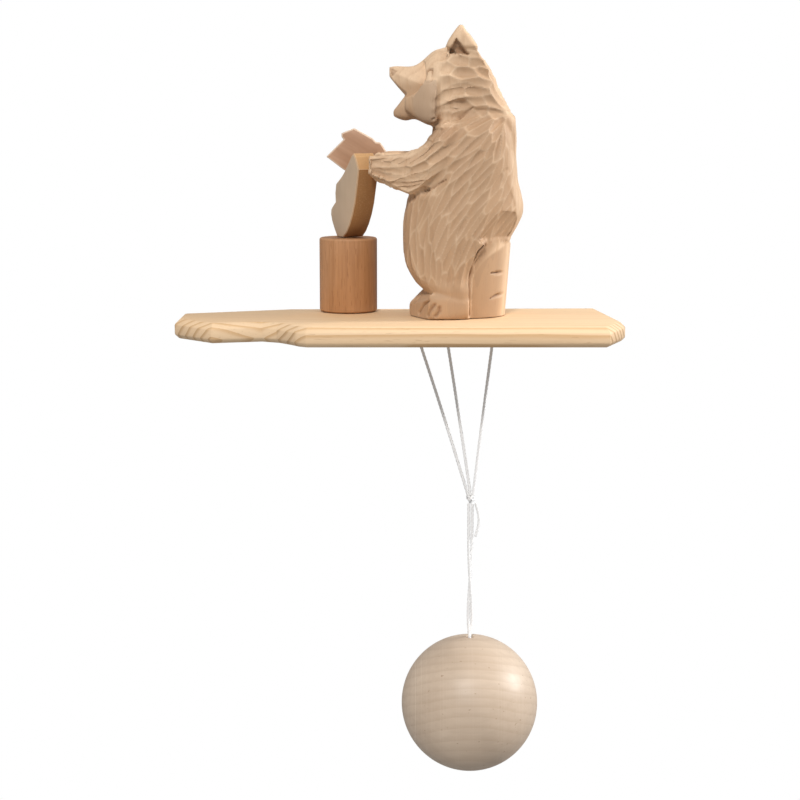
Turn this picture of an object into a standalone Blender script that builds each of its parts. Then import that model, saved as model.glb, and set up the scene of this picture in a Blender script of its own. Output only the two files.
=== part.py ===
"""Carved wooden balance toy: a bear at work on a shoe, on a board, with a ball hung below on strings.

The frame: +X points along the board, away from its handle end, +Y is the bear's left-hand side,
+Z is up. The origin is on the underside of the board, where a hand holds the handle end.
The bear looks towards -X. Every size is in metres; MM turns millimetres into metres.
"""

import math

import bmesh
import bpy
from mathutils import Matrix, Vector

MM = 0.001
GAP = 0.3 * MM            # between pieces that touch or fit into each other
SIDES = 32                # sides of a round hole or peg

# Board
BOARD_THICK = 7.0 * MM
BOARD_LENGTH = 157.0 * MM
BOARD_WIDTH = 62.0 * MM
HANDLE_REACH = 19.0 * MM  # from the origin to the handle's end
HANDLE_FRONT = 20.0 * MM  # from the origin to the handle's near edge
HANDLE_END = 18.0 * MM    # width of the flat end of the handle
HANDLE_BACK = 26.0 * MM   # from the board's near edge to that flat end
STEP_X = 27.0 * MM        # where the handle has widened to the full board
HANDLE_NECK = 15.0 * MM   # from there back to the waist in the handle's near edge
NECK_RISE = 4.6 * MM      # how far the waist is set in
HANDLE_FLAT = 32.0 * MM   # from the step back to the handle's straight near edge
SHOULDER_BACK = 7.0 * MM  # from the step back to where the far edge starts to narrow
SHOULDER_DROP = 3.2 * MM
END_SLANT = 5.0 * MM      # the far end is longer at its near side
END_CORNER = 18.0 * MM    # how far back the corner cut runs along the far end
END_CUT = 7.0 * MM        # how far the corner cut runs along the near edge
TOP_BEVEL = 2.0 * MM
UNDER_BEVEL = 1.5 * MM

# Block in front of the bear
BLOCK_X = 41.3 * MM
BLOCK_Y = 19.5 * MM
BLOCK_RADIUS = 10.4 * MM
BLOCK_HEIGHT = 26.5 * MM
BLOCK_BEVEL = 0.5 * MM

# Bear
BEAR_Y = 7.5 * MM         # its middle plane, which the strings share
ARM_SEAT = 12.2 * MM      # from the middle plane to the flat that the moving arm lies on
ARM_SEAT_FOOT = 37.5 * MM
ARM_SEAT_TOP = 73.0 * MM
LEG_SPLIT = 3.0 * MM      # the gap between its feet
LEG_SPLIT_END = 72.0 * MM
LEG_SPLIT_HEIGHT = 10.0 * MM
CUTTER_REACH = 40.0 * MM  # from the stump's middle to the outside of the boxes that trim it
STUMP_X = 84.0 * MM
STUMP_FOOT = 13.4 * MM
STUMP_TOP = 15.3 * MM
STUMP_HEIGHT = 26.2 * MM

# Moving arm
ARM_THICK = 5.0 * MM
PIVOT_X = 86.0 * MM
PIVOT_HEIGHT = 57.0 * MM  # above the board
ARM_LEVER = 6.5 * MM      # from the pivot back to the pull string
ARM_ROUND = 1.3 * MM

# Hammer
HAMMER_THICK = 5.4 * MM
HAMMER_PEG_X = 52.6 * MM
HAMMER_PEG_HEIGHT = 54.2 * MM

# Shoe
SHOE_THICK = 8.6 * MM
SHOE_TURN = math.radians(56.0)  # how far its flat face is turned away from the board's length
SHOE_X = 43.5 * MM
SHOE_Y = 17.0 * MM
SHOE_PEG_DEPTH = 5.0 * MM

# Nails and pegs
NAIL_DIAMETER = 1.8 * MM
NAIL_HEAD = 4.0 * MM
NAIL_HEAD_THICK = 0.8 * MM
NAIL_GRIP = 13.0 * MM     # how far a nail reaches into what stands on the board
PIVOT_NAIL_DEPTH = 9.0 * MM
PEG_DIAMETER = 2.2 * MM
BEAR_NAILS = ((78.0 * MM, -1.5 * MM), (84.0 * MM, 16.5 * MM))

# Strings and ball
STRING_DIAMETER = 1.1 * MM
STRING_HOLE = 2.4 * MM
STRING_HOLES_X = (66.0 * MM, 76.5 * MM, 93.5 * MM)
STRING_PEG_LENGTH = 3.6 * MM
STRING_RUN_OUT = 12.0 * MM  # how far the bore in the bear runs on past the arm
HANG_X = 85.6 * MM
KNOT_DROP = 59.8 * MM     # from the board's underside to the knot
KNOT_RADIUS = 1.75 * MM
BALL_DROP = 52.0 * MM     # from the knot to the top of the ball
BALL_RADIUS = 25.0 * MM
STRAND_SPACING = 1.5 * MM
BALL_SEAT_DEPTH = 7.0 * MM
BALL_KNOT_RADIUS = 2.6 * MM
TAIL_LENGTH = 12.0 * MM

BOARD_TOP = BOARD_THICK + GAP
ARM_INNER = BEAR_Y + ARM_SEAT + GAP
ARM_OUTER = ARM_INNER + ARM_THICK
HAMMER_INNER = ARM_OUTER + GAP
HAMMER_OUTER = HAMMER_INNER + HAMMER_THICK
PIVOT_Z = BOARD_TOP + PIVOT_HEIGHT
BLOCK_TOP = BOARD_TOP + BLOCK_HEIGHT
KNOT_Z = -KNOT_DROP
BALL_Z = KNOT_Z - BALL_DROP - BALL_RADIUS

# The sawn curve from the board's near edge up to the handle: past the step, from the near edge.
STEP_OUTLINE = ((1.0, 0.0), (-2.5, 2.6), (-5.5, 7.2), (-9.5, 12.4))

WOODS = {
    "pine": ((0.72, 0.52, 0.31), 0.6),
    "linden": ((0.70, 0.50, 0.33), 0.6),
    "red_alder": ((0.50, 0.29, 0.16), 0.6),
    "shoe_linden": ((0.60, 0.46, 0.32), 0.55),
    "hammer_alder": ((0.47, 0.30, 0.20), 0.55),
    "pale_birch": ((0.70, 0.60, 0.50), 0.5),
    "peg_beech": ((0.55, 0.40, 0.26), 0.6),
}

# Each row of the bear's body: height above the board, front, back, half width, squareness.
BODY_ROWS = (
    (0.0, 70.5, 86.0, 16.6, 3.2),
    (8.0, 69.5, 87.5, 17.4, 3.0),
    (11.5, 65.5, 88.5, 18.0, 2.8),
    (15.3, 62.8, 90.0, 18.3, 2.6),
    (20.0, 61.4, 93.5, 18.5, 2.5),
    (26.5, 60.8, 98.8, 18.5, 2.5),
    (34.5, 61.0, 103.2, 18.2, 2.5),
    (38.5, 61.8, 103.8, 18.0, 2.5),
    (43.0, 63.0, 103.0, 17.5, 2.6),
    (48.0, 65.5, 101.8, 17.3, 2.7),
    (55.0, 68.5, 101.3, 17.0, 2.8),
    (61.0, 70.5, 101.2, 16.2, 2.8),
    (66.0, 71.5, 101.1, 14.6, 2.6),
    (70.0, 74.0, 100.8, 12.0, 2.4),
    (72.5, 78.0, 99.0, 8.5, 2.2),
)

# Rows across the length, from the front back: place along X, lowest, highest, sideways centre
# from the middle plane, half width, squareness.
HEAD_ROWS = (
    (56.3, 83.4, 86.7, 0.0, 1.9, 2.2),
    (58.0, 81.3, 87.0, 0.0, 3.3, 2.3),
    (60.5, 78.4, 87.0, 0.0, 4.3, 2.4),
    (63.0, 75.8, 86.9, 0.0, 5.2, 2.4),
    (65.5, 73.0, 87.4, 0.0, 6.6, 2.4),
    (68.0, 70.0, 89.1, 0.0, 8.6, 2.4),
    (71.5, 67.0, 92.1, 0.0, 10.6, 2.4),
    (75.5, 64.0, 93.6, 0.0, 11.6, 2.4),
    (80.0, 62.0, 93.8, 0.0, 12.0, 2.4),
    (85.0, 60.0, 92.9, 0.0, 12.0, 2.4),
    (89.0, 58.0, 91.0, 0.0, 11.8, 2.4),
    (92.0, 56.0, 86.8, 0.0, 11.6, 2.4),
    (95.0, 54.0, 80.2, 0.0, 11.4, 2.4),
    (98.0, 52.0, 74.4, 0.0, 11.0, 2.4),
    (100.6, 50.0, 70.6, 0.0, 9.4, 2.4),
)
JAW_ROWS = (
    (57.7, 69.8, 71.7, 0.0, 1.7, 2.4),
    (59.6, 68.8, 74.0, 0.0, 3.2, 2.4),
    (62.0, 68.2, 77.0, 0.0, 4.3, 2.4),
    (65.2, 68.7, 79.0, 0.0, 5.4, 2.4),
    (70.0, 66.7, 80.0, 0.0, 7.6, 2.4),
    (75.0, 66.0, 79.0, 0.0, 8.0, 2.4),
)
CHEEK_ROWS = (
    (61.8, 72.0, 77.6, 5.2, 1.4, 2.2),
    (65.0, 69.6, 80.2, 6.8, 2.2, 2.4),
    (69.0, 68.1, 81.4, 8.8, 2.8, 2.6),
    (72.4, 68.6, 81.0, 9.6, 2.4, 2.6),
    (76.0, 70.0, 79.0, 8.6, 2.0, 2.4),
)
EAR_ROWS = (
    (76.6, 90.0, 94.4, 6.9, 3.4, 2.6),
    (79.0, 90.0, 98.2, 7.2, 3.2, 2.4),
    (81.2, 90.0, 101.3, 7.5, 2.2, 2.0),
    (83.2, 90.0, 99.4, 7.3, 2.8, 2.4),
    (88.6, 88.0, 92.0, 6.6, 3.2, 2.6),
)
NEAR_ARM_ROWS = (
    (49.0, 48.9, 56.1, -3.9, 4.7, 4.0),
    (52.0, 46.6, 56.9, -4.4, 5.2, 3.6),
    (55.5, 44.9, 56.9, -5.4, 5.8, 3.2),
    (59.5, 43.4, 57.3, -7.0, 6.4, 3.0),
    (63.5, 42.5, 58.0, -8.7, 6.9, 3.0),
    (67.5, 43.8, 60.2, -10.0, 7.2, 3.0),
    (71.0, 46.0, 65.0, -10.6, 7.2, 2.8),
    (76.0, 48.0, 69.0, -10.0, 6.8, 2.6),
    (84.0, 52.0, 67.5, -7.5, 6.0, 2.4),
)
FOOT_ROWS = (
    (63.4, 0.8, 4.6, -9.6, 4.8, 2.6),
    (65.0, -1.0, 7.0, -9.6, 6.2, 2.8),
    (69.0, -1.0, 9.6, -9.4, 6.9, 2.8),
    (76.0, -1.0, 12.0, -9.2, 7.4, 2.8),
    (84.0, -1.0, 11.0, -8.8, 7.6, 2.6),
)

# The moving arm's outline from the pivot: along X, height. The shoulder is closed by an arc.
ARM_OUTLINE = (
    (-5.0, 10.0), (-9.5, 7.6), (-14.5, 3.2), (-20.0, 0.7), (-26.0, 0.7), (-30.5, 0.6),
    (-35.2, -0.6), (-35.4, -7.4), (-32.0, -9.8), (-26.5, -12.4), (-20.5, -13.2),
    (-14.5, -11.8), (-8.0, -9.4),
)
SHOULDER_RADIUS = 10.6
SHOULDER_ARC = (-100.0, 112.0)
SHOULDER_STEPS = 14

# The hammer's outline: along X, height above the board.
HAMMER_OUTLINE = (
    (43.4, 65.4), (38.8, 63.6), (38.9, 62.2), (39.6, 61.4), (33.3, 55.2), (39.4, 50.6),
    (42.7, 48.6), (45.4, 52.2), (54.8, 51.2), (55.6, 56.0), (53.9, 58.8), (52.8, 60.3),
    (51.3, 60.4), (50.1, 61.7),
)

# The shoe's outline on its flat face: across, height above the block, from the toe round the
# smooth side to the heel and back down the waisted side.
SHOE_OUTLINE = (
    (-0.7, 0.0), (1.6, 2.0), (3.6, 4.8), (5.4, 8.2), (6.9, 12.2), (8.1, 17.0), (9.0, 21.0),
    (9.6, 24.4), (7.6, 28.6), (6.4, 30.0), (4.9, 29.0), (2.2, 25.6), (-0.3, 22.8),
    (-2.4, 21.0), (-5.4, 18.9), (-6.0, 15.6), (-5.8, 12.4), (-7.8, 10.8), (-8.8, 9.6),
    (-9.0, 7.8), (-8.2, 5.4), (-6.6, 2.6), (-4.8, 0.0),
)


def clear_scene():
    for obj in list(bpy.data.objects):
        bpy.data.objects.remove(obj)


def material(name, colour, roughness, metallic=0.0):
    """The material of this name, made the first time that it is asked for."""
    made = bpy.data.materials.get(name)
    if made is None:
        made = bpy.data.materials.new(name)
        made.use_nodes = True
        shader = made.node_tree.nodes["Principled BSDF"]
        shader.inputs["Base Color"].default_value = (*colour, 1.0)
        shader.inputs["Roughness"].default_value = roughness
        shader.inputs["Metallic"].default_value = metallic
    return made


def wood(name):
    colour, roughness = WOODS[name]
    return material(name, colour, roughness)


def cotton():
    return material("cotton", (0.80, 0.79, 0.77), 0.9)


def steel():
    return material("steel", (0.55, 0.54, 0.52), 0.35, 1.0)


def add_object(name, data, finish=None, parent=None, at=(0, 0, 0)):
    """Adds data as an object whose origin is at the world point `at`, under its parent."""
    obj = bpy.data.objects.new(name, data)
    bpy.context.scene.collection.objects.link(obj)
    if finish is not None:
        data.materials.append(finish)
    place = Vector(at)
    if parent is not None:
        obj.parent = parent
        place -= parent.matrix_world.translation
    obj.location = place
    bpy.context.view_layer.update()
    return obj


def add_empty(name, at, parent=None):
    empty = add_object(name, None, None, parent, at)
    empty.empty_display_size = 10 * MM
    return empty


def mesh_from(name, bm, smooth_angle=None):
    """Turns the bmesh's faces outwards and makes it a mesh, smooth below the given angle."""
    bmesh.ops.recalc_face_normals(bm, faces=bm.faces)
    mesh = bpy.data.meshes.new(name)
    bm.to_mesh(mesh)
    bm.free()
    if smooth_angle is not None:
        mesh.shade_smooth()
        mesh.set_sharp_from_angle(angle=math.radians(smooth_angle))
    return mesh


def loft(name, rings, smooth_angle=40.0):
    """A closed skin through rings that have the same number of points."""
    bm = bmesh.new()
    rows = [[bm.verts.new(point) for point in ring] for ring in rings]
    count = len(rows[0])
    for lower, upper in zip(rows, rows[1:]):
        for i in range(count):
            j = (i + 1) % count
            bm.faces.new((lower[i], lower[j], upper[j], upper[i]))
    bm.faces.new(rows[0])
    bm.faces.new(rows[-1])
    return mesh_from(name, bm, smooth_angle)


def superellipse(half_u, half_v, power, count):
    """Points round a rounded rectangle: power 2 is an ellipse, and more is squarer."""
    points = []
    for i in range(count):
        turn = 2 * math.pi * i / count
        c, s = math.cos(turn), math.sin(turn)
        u = half_u * math.copysign(abs(c) ** (2 / power), c)
        v = half_v * math.copysign(abs(s) ** (2 / power), s)
        points.append((u, v))
    return points


def body_rings(rows, count=28):
    rings = []
    for height, front, back, half_width, power in rows:
        centre = (front + back) / 2
        oval = superellipse((back - front) / 2, half_width, power, count)
        z = BOARD_TOP + height * MM
        rings.append([((centre + u) * MM, BEAR_Y + v * MM, z) for u, v in oval])
    return rings


def limb_rings(rows, side=1, count=18):
    """Rings across X; side -1 gives the mirror image on the other side of the bear."""
    rings = []
    for x, low, high, across, half_width, power in rows:
        centre = (low + high) / 2
        oval = superellipse(half_width, (high - low) / 2, power, count)
        rings.append([
            (x * MM, BEAR_Y + side * (across + u) * MM, BOARD_TOP + (centre + v) * MM)
            for u, v in oval
        ])
    return rings


def prism(name, outline, lift, smooth_angle=None, rounding=None, segments=2):
    """Extrudes a closed outline of 3-D points by the vector `lift`, with its rims rounded."""
    bm = bmesh.new()
    face = bm.faces.new([bm.verts.new(point) for point in outline])
    extruded = bmesh.ops.extrude_face_region(bm, geom=[face])
    moved = [g for g in extruded["geom"] if isinstance(g, bmesh.types.BMVert)]
    bmesh.ops.translate(bm, vec=lift, verts=moved)
    if rounding:
        direction = Vector(lift).normalized()
        bm.normal_update()
        rims = [e for e in bm.edges
                if abs((e.verts[1].co - e.verts[0].co).normalized().dot(direction)) < 0.5]
        bmesh.ops.bevel(bm, geom=rims, offset=rounding, segments=segments, affect="EDGES")
    return mesh_from(name, bm, smooth_angle)


def turned(name, profile, count=SIDES, axis="Z", centre=(0, 0, 0), smooth_angle=30.0,
           bored=False):
    """Turns (radius, height) points round an axis; a first or last radius of 0 is a pole.

    A bored piece's profile is a whole loop, down its outside and back up its bore.
    """
    bm = bmesh.new()
    rows = []
    for radius, height in profile:
        if radius == 0:
            rows.append([bm.verts.new((0, 0, height))])
            continue
        angles = [2 * math.pi * i / count for i in range(count)]
        rows.append([bm.verts.new((radius * math.cos(a), radius * math.sin(a), height))
                     for a in angles])
    for lower, upper in zip(rows, rows[1:] + rows[:1] if bored else rows[1:]):
        for i in range(count):
            j = (i + 1) % count
            corners = [lower[i % len(lower)], lower[j % len(lower)],
                       upper[j % len(upper)], upper[i % len(upper)]]
            bm.faces.new(list(dict.fromkeys(corners)))
    for row in (rows[0], rows[-1]):
        if len(row) > 1 and not bored:
            bm.faces.new(row)
    if axis == "Y":
        bmesh.ops.rotate(bm, verts=bm.verts, matrix=Matrix.Rotation(-math.pi / 2, 3, "X"))
    bmesh.ops.translate(bm, verts=bm.verts, vec=centre)
    return mesh_from(name, bm, smooth_angle)


def rod(name, start, end, radius, count=SIDES):
    """A round bar between two points."""
    start, end = Vector(start), Vector(end)
    along = end - start
    turn = along.to_track_quat("Z", "Y").to_matrix()
    bm = bmesh.new()
    bmesh.ops.create_cone(bm, cap_ends=True, segments=count, radius1=radius, radius2=radius,
                          depth=along.length)
    bmesh.ops.rotate(bm, verts=bm.verts, matrix=turn)
    bmesh.ops.translate(bm, verts=bm.verts, vec=(start + end) / 2)
    return mesh_from(name, bm, 30.0)


def box(name, low, high):
    bm = bmesh.new()
    bmesh.ops.create_cube(bm, size=1.0)
    low, high = Vector(low), Vector(high)
    bmesh.ops.scale(bm, verts=bm.verts, vec=high - low)
    bmesh.ops.translate(bm, verts=bm.verts, vec=(low + high) / 2)
    return mesh_from(name, bm)


def combine(target, mesh, operation):
    """Joins a hidden helper to the target, or cuts it away, with an exact Boolean.

    The helper's points are world points, and its object stays at the origin.
    """
    helper = bpy.data.objects.new(mesh.name, mesh)
    bpy.context.scene.collection.objects.link(helper)
    helper.hide_render = True
    helper.display_type = "WIRE"
    boolean = target.modifiers.new(mesh.name, "BOOLEAN")
    boolean.operation = operation
    boolean.solver = "EXACT"
    boolean.object = helper


def cord(name, points, diameter, parent=None):
    """A round cord through points that lie close together on a smooth line."""
    origin = parent.matrix_world.translation if parent is not None else Vector((0, 0, 0))
    curve = bpy.data.curves.new(name, "CURVE")
    curve.dimensions = "3D"
    curve.bevel_depth = diameter / 2
    curve.bevel_resolution = 2
    curve.use_fill_caps = True
    spline = curve.splines.new("POLY")
    spline.points.add(len(points) - 1)
    for place, point in zip(spline.points, points):
        place.co = (*(Vector(point) - origin), 1.0)
    return add_object(name, curve, cotton(), parent, origin)


def between(start, end, spacing):
    """Evenly spaced points on the straight line from start to end."""
    start, end = Vector(start), Vector(end)
    steps = max(2, round((end - start).length / spacing))
    return [start.lerp(end, i / steps) for i in range(steps + 1)]


def nail_profile(length, diameter=NAIL_DIAMETER):
    """A flat-headed nail standing on its head, with a short point."""
    radius = diameter / 2
    return ((NAIL_HEAD / 2, 0.0), (NAIL_HEAD / 2, NAIL_HEAD_THICK), (radius, NAIL_HEAD_THICK),
            (radius, length - 2 * radius), (radius * 0.25, length))


def drill_for_nail(target, x, y):
    """A countersunk hole through the board for one nail."""
    reach = BOARD_THICK + 2 * GAP
    hole = rod("nail_hole_cutter", (x, y, -reach), (x, y, reach), NAIL_DIAMETER / 2 + GAP)
    sink = rod("nail_sink_cutter", (x, y, -reach), (x, y, NAIL_HEAD_THICK + 2 * GAP),
               NAIL_HEAD / 2 + GAP)
    combine(target, hole, "DIFFERENCE")
    combine(target, sink, "DIFFERENCE")


def build_board():
    """The board: a sawn outline with a narrower handle end, bevelled all round."""
    right = BOARD_LENGTH - HANDLE_REACH
    left = -HANDLE_REACH
    near = -BOARD_WIDTH / 2
    far = BOARD_WIDTH / 2
    handle = -HANDLE_FRONT
    step = [(STEP_X + x * MM, near + y * MM) for x, y in STEP_OUTLINE]
    outline = [
        (left, near + HANDLE_BACK), (left, near + HANDLE_BACK + HANDLE_END),
        (STEP_X - SHOULDER_BACK, far - SHOULDER_DROP), (right - END_SLANT, far),
        (right, near + END_CORNER), (right - END_CUT, near), *step,
        (STEP_X - HANDLE_NECK, handle + NECK_RISE), (STEP_X - HANDLE_FLAT, handle),
    ]
    bm = bmesh.new()
    face = bm.faces.new([bm.verts.new((x, y, 0)) for x, y in outline])
    top = bmesh.ops.extrude_face_region(bm, geom=[face])
    raised = [g for g in top["geom"] if isinstance(g, bmesh.types.BMVert)]
    bmesh.ops.translate(bm, vec=(0, 0, BOARD_THICK), verts=raised)
    for height, width in ((BOARD_THICK, TOP_BEVEL), (0.0, UNDER_BEVEL)):
        rim = [e for e in bm.edges if all(abs(v.co.z - height) < GAP for v in e.verts)]
        bmesh.ops.bevel(bm, geom=rim, offset=width, segments=1, affect="EDGES")
    board = add_object("board", mesh_from("board", bm), wood("pine"))
    reach = BOARD_THICK + 2 * GAP
    for x in STRING_HOLES_X:
        hole = rod("string_hole_cutter", (x, BEAR_Y, -reach), (x, BEAR_Y, reach),
                   STRING_HOLE / 2 + GAP)
        combine(board, hole, "DIFFERENCE")
    for x, y in (*BEAR_NAILS, (BLOCK_X, BLOCK_Y)):
        drill_for_nail(board, x, y)
    return board


def pull_string_line():
    """The pull string's slanted run: from the top of its hole in the board to the arm."""
    foot = Vector((STRING_HOLES_X[2], BEAR_Y, BOARD_THICK))
    head = Vector((PIVOT_X + ARM_LEVER, ARM_INNER - STRING_DIAMETER, PIVOT_Z))
    return foot, head


def build_bear():
    """The bear, its near arm, its feet and the stump that it sits on, carved from one block."""
    bear = add_object("bear_figure", loft("bear_figure", body_rings(BODY_ROWS)), wood("linden"))
    shapes = [
        loft("head", limb_rings(HEAD_ROWS, count=22)),
        loft("jaw", limb_rings(JAW_ROWS)),
        loft("near_arm", limb_rings(NEAR_ARM_ROWS, count=20)),
    ]
    for side in (-1, 1):
        shapes.append(loft("cheek", limb_rings(CHEEK_ROWS, side, 12)))
        shapes.append(loft("ear", limb_rings(EAR_ROWS, side, 12)))
        shapes.append(loft("foot", limb_rings(FOOT_ROWS, side, 16)))
    stump_profile = ((STUMP_FOOT, 0.0), (STUMP_TOP, STUMP_HEIGHT - 1 * MM),
                     (STUMP_TOP - 1 * MM, STUMP_HEIGHT))
    shapes.append(turned("stump", stump_profile, 40, centre=(STUMP_X, BEAR_Y, BOARD_TOP)))
    for shape in shapes:
        combine(bear, shape, "UNION")

    front = STUMP_X - CUTTER_REACH
    back = STUMP_X + CUTTER_REACH
    far_out = BEAR_Y + CUTTER_REACH
    cuts = [
        box("floor_cutter", (front, BEAR_Y - CUTTER_REACH, BOARD_TOP - CUTTER_REACH),
            (back, far_out, BOARD_TOP)),
        box("arm_seat_cutter", (front, BEAR_Y + ARM_SEAT, BOARD_TOP + ARM_SEAT_FOOT),
            (back, far_out, BOARD_TOP + ARM_SEAT_TOP)),
        box("leg_split_cutter", (front, BEAR_Y - LEG_SPLIT / 2, BOARD_TOP - LEG_SPLIT),
            (LEG_SPLIT_END, BEAR_Y + LEG_SPLIT / 2, BOARD_TOP + LEG_SPLIT_HEIGHT)),
        rod("pivot_hole_cutter", (PIVOT_X, ARM_INNER - PIVOT_NAIL_DEPTH - 3 * GAP, PIVOT_Z),
            (PIVOT_X, far_out, PIVOT_Z), NAIL_DIAMETER / 2 + GAP),
    ]
    foot, head = pull_string_line()
    along = (head - foot).normalized()
    cuts.append(rod("string_bore_cutter", foot - along * GAP, head + STRING_RUN_OUT * along,
                    STRING_HOLE / 2 + GAP))
    for x, y in BEAR_NAILS:
        top = BOARD_TOP + NAIL_GRIP + 2 * GAP
        cuts.append(rod("bear_nail_cutter", (x, y, 0), (x, y, top), NAIL_DIAMETER / 2 + GAP))
    for cut in cuts:
        combine(bear, cut, "DIFFERENCE")
    return bear


def build_nails_and_pegs(arm):
    """The fixings: nails up through the board, the arm's pivot nail, and the string pegs."""
    shank = BOARD_THICK + NAIL_GRIP
    for name, (x, y) in zip(("bear_nail_near", "bear_nail_far"), BEAR_NAILS):
        mesh = turned(name, nail_profile(shank), 20)
        add_object(name, mesh, steel(), at=(x, y, GAP))
    mesh = turned("block_nail", nail_profile(shank), 20)
    add_object("block_nail", mesh, steel(), at=(BLOCK_X, BLOCK_Y, GAP))

    radius = NAIL_DIAMETER / 2
    crown = ARM_OUTER + GAP
    tip = ARM_INNER - PIVOT_NAIL_DEPTH
    profile = ((radius * 0.25, tip), (radius, tip + 2 * radius), (radius, crown),
               (NAIL_HEAD / 2, crown), (NAIL_HEAD / 2, crown + NAIL_HEAD_THICK * 0.6),
               (NAIL_HEAD / 4, crown + NAIL_HEAD_THICK))
    mesh = turned("arm_pivot_nail", profile, 20, "Y")
    add_object("arm_pivot_nail", mesh, steel(), at=(PIVOT_X, 0, PIVOT_Z))

    top = BOARD_THICK - GAP
    foot = top - STRING_PEG_LENGTH
    taper = PEG_DIAMETER / 2 - 0.3 * MM
    for name, x in zip(("string_peg_front", "string_peg_middle"), STRING_HOLES_X):
        mesh = turned(name, ((taper, foot), (PEG_DIAMETER / 2, top)), 16)
        add_object(name, mesh, wood("peg_beech"), at=(x, BEAR_Y, 0))


def build_block_and_shoe():
    """The round block, the shoe on it, and the peg that holds the shoe's toe."""
    rim = BLOCK_RADIUS - BLOCK_BEVEL
    profile = ((rim, 0), (BLOCK_RADIUS, BLOCK_BEVEL), (BLOCK_RADIUS, BLOCK_HEIGHT - BLOCK_BEVEL),
               (rim, BLOCK_HEIGHT))
    mesh = turned("block", profile, 56, centre=(BLOCK_X, BLOCK_Y, BOARD_TOP))
    block = add_object("block", mesh, wood("red_alder"))

    across = Vector((math.cos(SHOE_TURN), -math.sin(SHOE_TURN), 0))
    back = Vector((math.sin(SHOE_TURN), math.cos(SHOE_TURN), 0))
    foot = Vector((SHOE_X, SHOE_Y, BLOCK_TOP + GAP)) - back * SHOE_THICK / 2
    outline = [foot + across * u * MM + Vector((0, 0, v * MM)) for u, v in SHOE_OUTLINE]
    mesh = prism("shoe", outline, back * SHOE_THICK, 35.0, 0.3 * MM, 1)
    shoe = add_object("shoe", mesh, wood("shoe_linden"))

    toe = (SHOE_OUTLINE[0][0] + SHOE_OUTLINE[-1][0]) / 2 * MM
    peg_at = Vector((SHOE_X, SHOE_Y, 0)) + across * toe
    low = BLOCK_TOP - SHOE_PEG_DEPTH
    high = BLOCK_TOP + GAP + SHOE_PEG_DEPTH
    radius = PEG_DIAMETER / 2
    mesh = rod("shoe_peg", (0, 0, low), (0, 0, high), radius, 16)
    add_object("shoe_peg", mesh, wood("peg_beech"), at=peg_at)

    def hole():
        return rod("shoe_peg_cutter", peg_at + Vector((0, 0, low - GAP)),
                   peg_at + Vector((0, 0, high + GAP)), radius + GAP, 16)

    combine(block, hole(), "DIFFERENCE")
    combine(shoe, hole(), "DIFFERENCE")
    nail_top = BOARD_TOP + NAIL_GRIP + 2 * GAP
    nail_hole = rod("block_nail_cutter", (BLOCK_X, BLOCK_Y, 0), (BLOCK_X, BLOCK_Y, nail_top),
                    NAIL_DIAMETER / 2 + GAP)
    combine(block, nail_hole, "DIFFERENCE")


def build_arm():
    """The moving arm on its pivot, with the hammer pegged to its paw and the string's knot."""
    arm_frame = add_empty("arm_pivot", (PIVOT_X, ARM_INNER, PIVOT_Z))
    start, end = SHOULDER_ARC
    arc = []
    for i in range(SHOULDER_STEPS + 1):
        turn = math.radians(start + (end - start) * i / SHOULDER_STEPS)
        arc.append((SHOULDER_RADIUS * math.cos(turn), SHOULDER_RADIUS * math.sin(turn)))
    outline = [(x * MM, 0.0, z * MM) for x, z in (*ARM_OUTLINE, *arc)]
    mesh = prism("far_arm", outline, (0, ARM_THICK, 0), 50.0, ARM_ROUND, 2)
    arm = add_object("far_arm", mesh, wood("linden"), arm_frame,
                     (PIVOT_X, ARM_INNER, PIVOT_Z))

    outline = [(x * MM, HAMMER_INNER, BOARD_TOP + z * MM) for x, z in HAMMER_OUTLINE]
    mesh = prism("hammer", outline, (0, HAMMER_THICK, 0), None, 0.3 * MM, 1)
    place = Vector((HAMMER_PEG_X, 0, BOARD_TOP + HAMMER_PEG_HEIGHT))
    mesh.transform(Matrix.Translation(-place))
    hammer = add_object("hammer", mesh, wood("hammer_alder"), arm_frame, place)

    radius = PEG_DIAMETER / 2
    front = ARM_INNER + GAP
    mesh = rod("hammer_peg", (0, front, 0), (0, HAMMER_OUTER, 0), radius, 16)
    add_object("hammer_peg", mesh, wood("peg_beech"), arm_frame, place)

    def peg_hole():
        out = HAMMER_OUTER + 3 * MM
        return rod("hammer_peg_cutter", place + Vector((0, ARM_INNER - 3 * MM, 0)),
                   place + Vector((0, out, 0)), radius + GAP, 16)

    def arm_hole(name, x, radius):
        return rod(name, (x, ARM_INNER - 3 * MM, PIVOT_Z), (x, ARM_OUTER + 3 * MM, PIVOT_Z),
                   radius, 20)

    combine(arm, peg_hole(), "DIFFERENCE")
    combine(hammer, peg_hole(), "DIFFERENCE")
    combine(arm, arm_hole("arm_pivot_cutter", PIVOT_X, NAIL_DIAMETER / 2 + GAP), "DIFFERENCE")
    combine(arm, arm_hole("arm_string_cutter", PIVOT_X + ARM_LEVER, STRING_DIAMETER / 2 + GAP),
            "DIFFERENCE")

    # The pull string's outer end passes through the arm and is knotted on its outer side.
    thread = STRING_DIAMETER / 2
    start = ARM_INNER + GAP
    knot = ARM_OUTER + GAP + KNOT_RADIUS * 0.8
    profile = [(thread, start), (thread, ARM_OUTER + GAP)]
    profile += sphere_profile(KNOT_RADIUS, 0.8, knot)[1:]
    mesh = turned("arm_string_knot", profile, 16, "Y", smooth_angle=60.0)
    add_object("arm_string_knot", mesh, cotton(), arm_frame, (PIVOT_X + ARM_LEVER, 0, PIVOT_Z))
    return arm_frame


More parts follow.
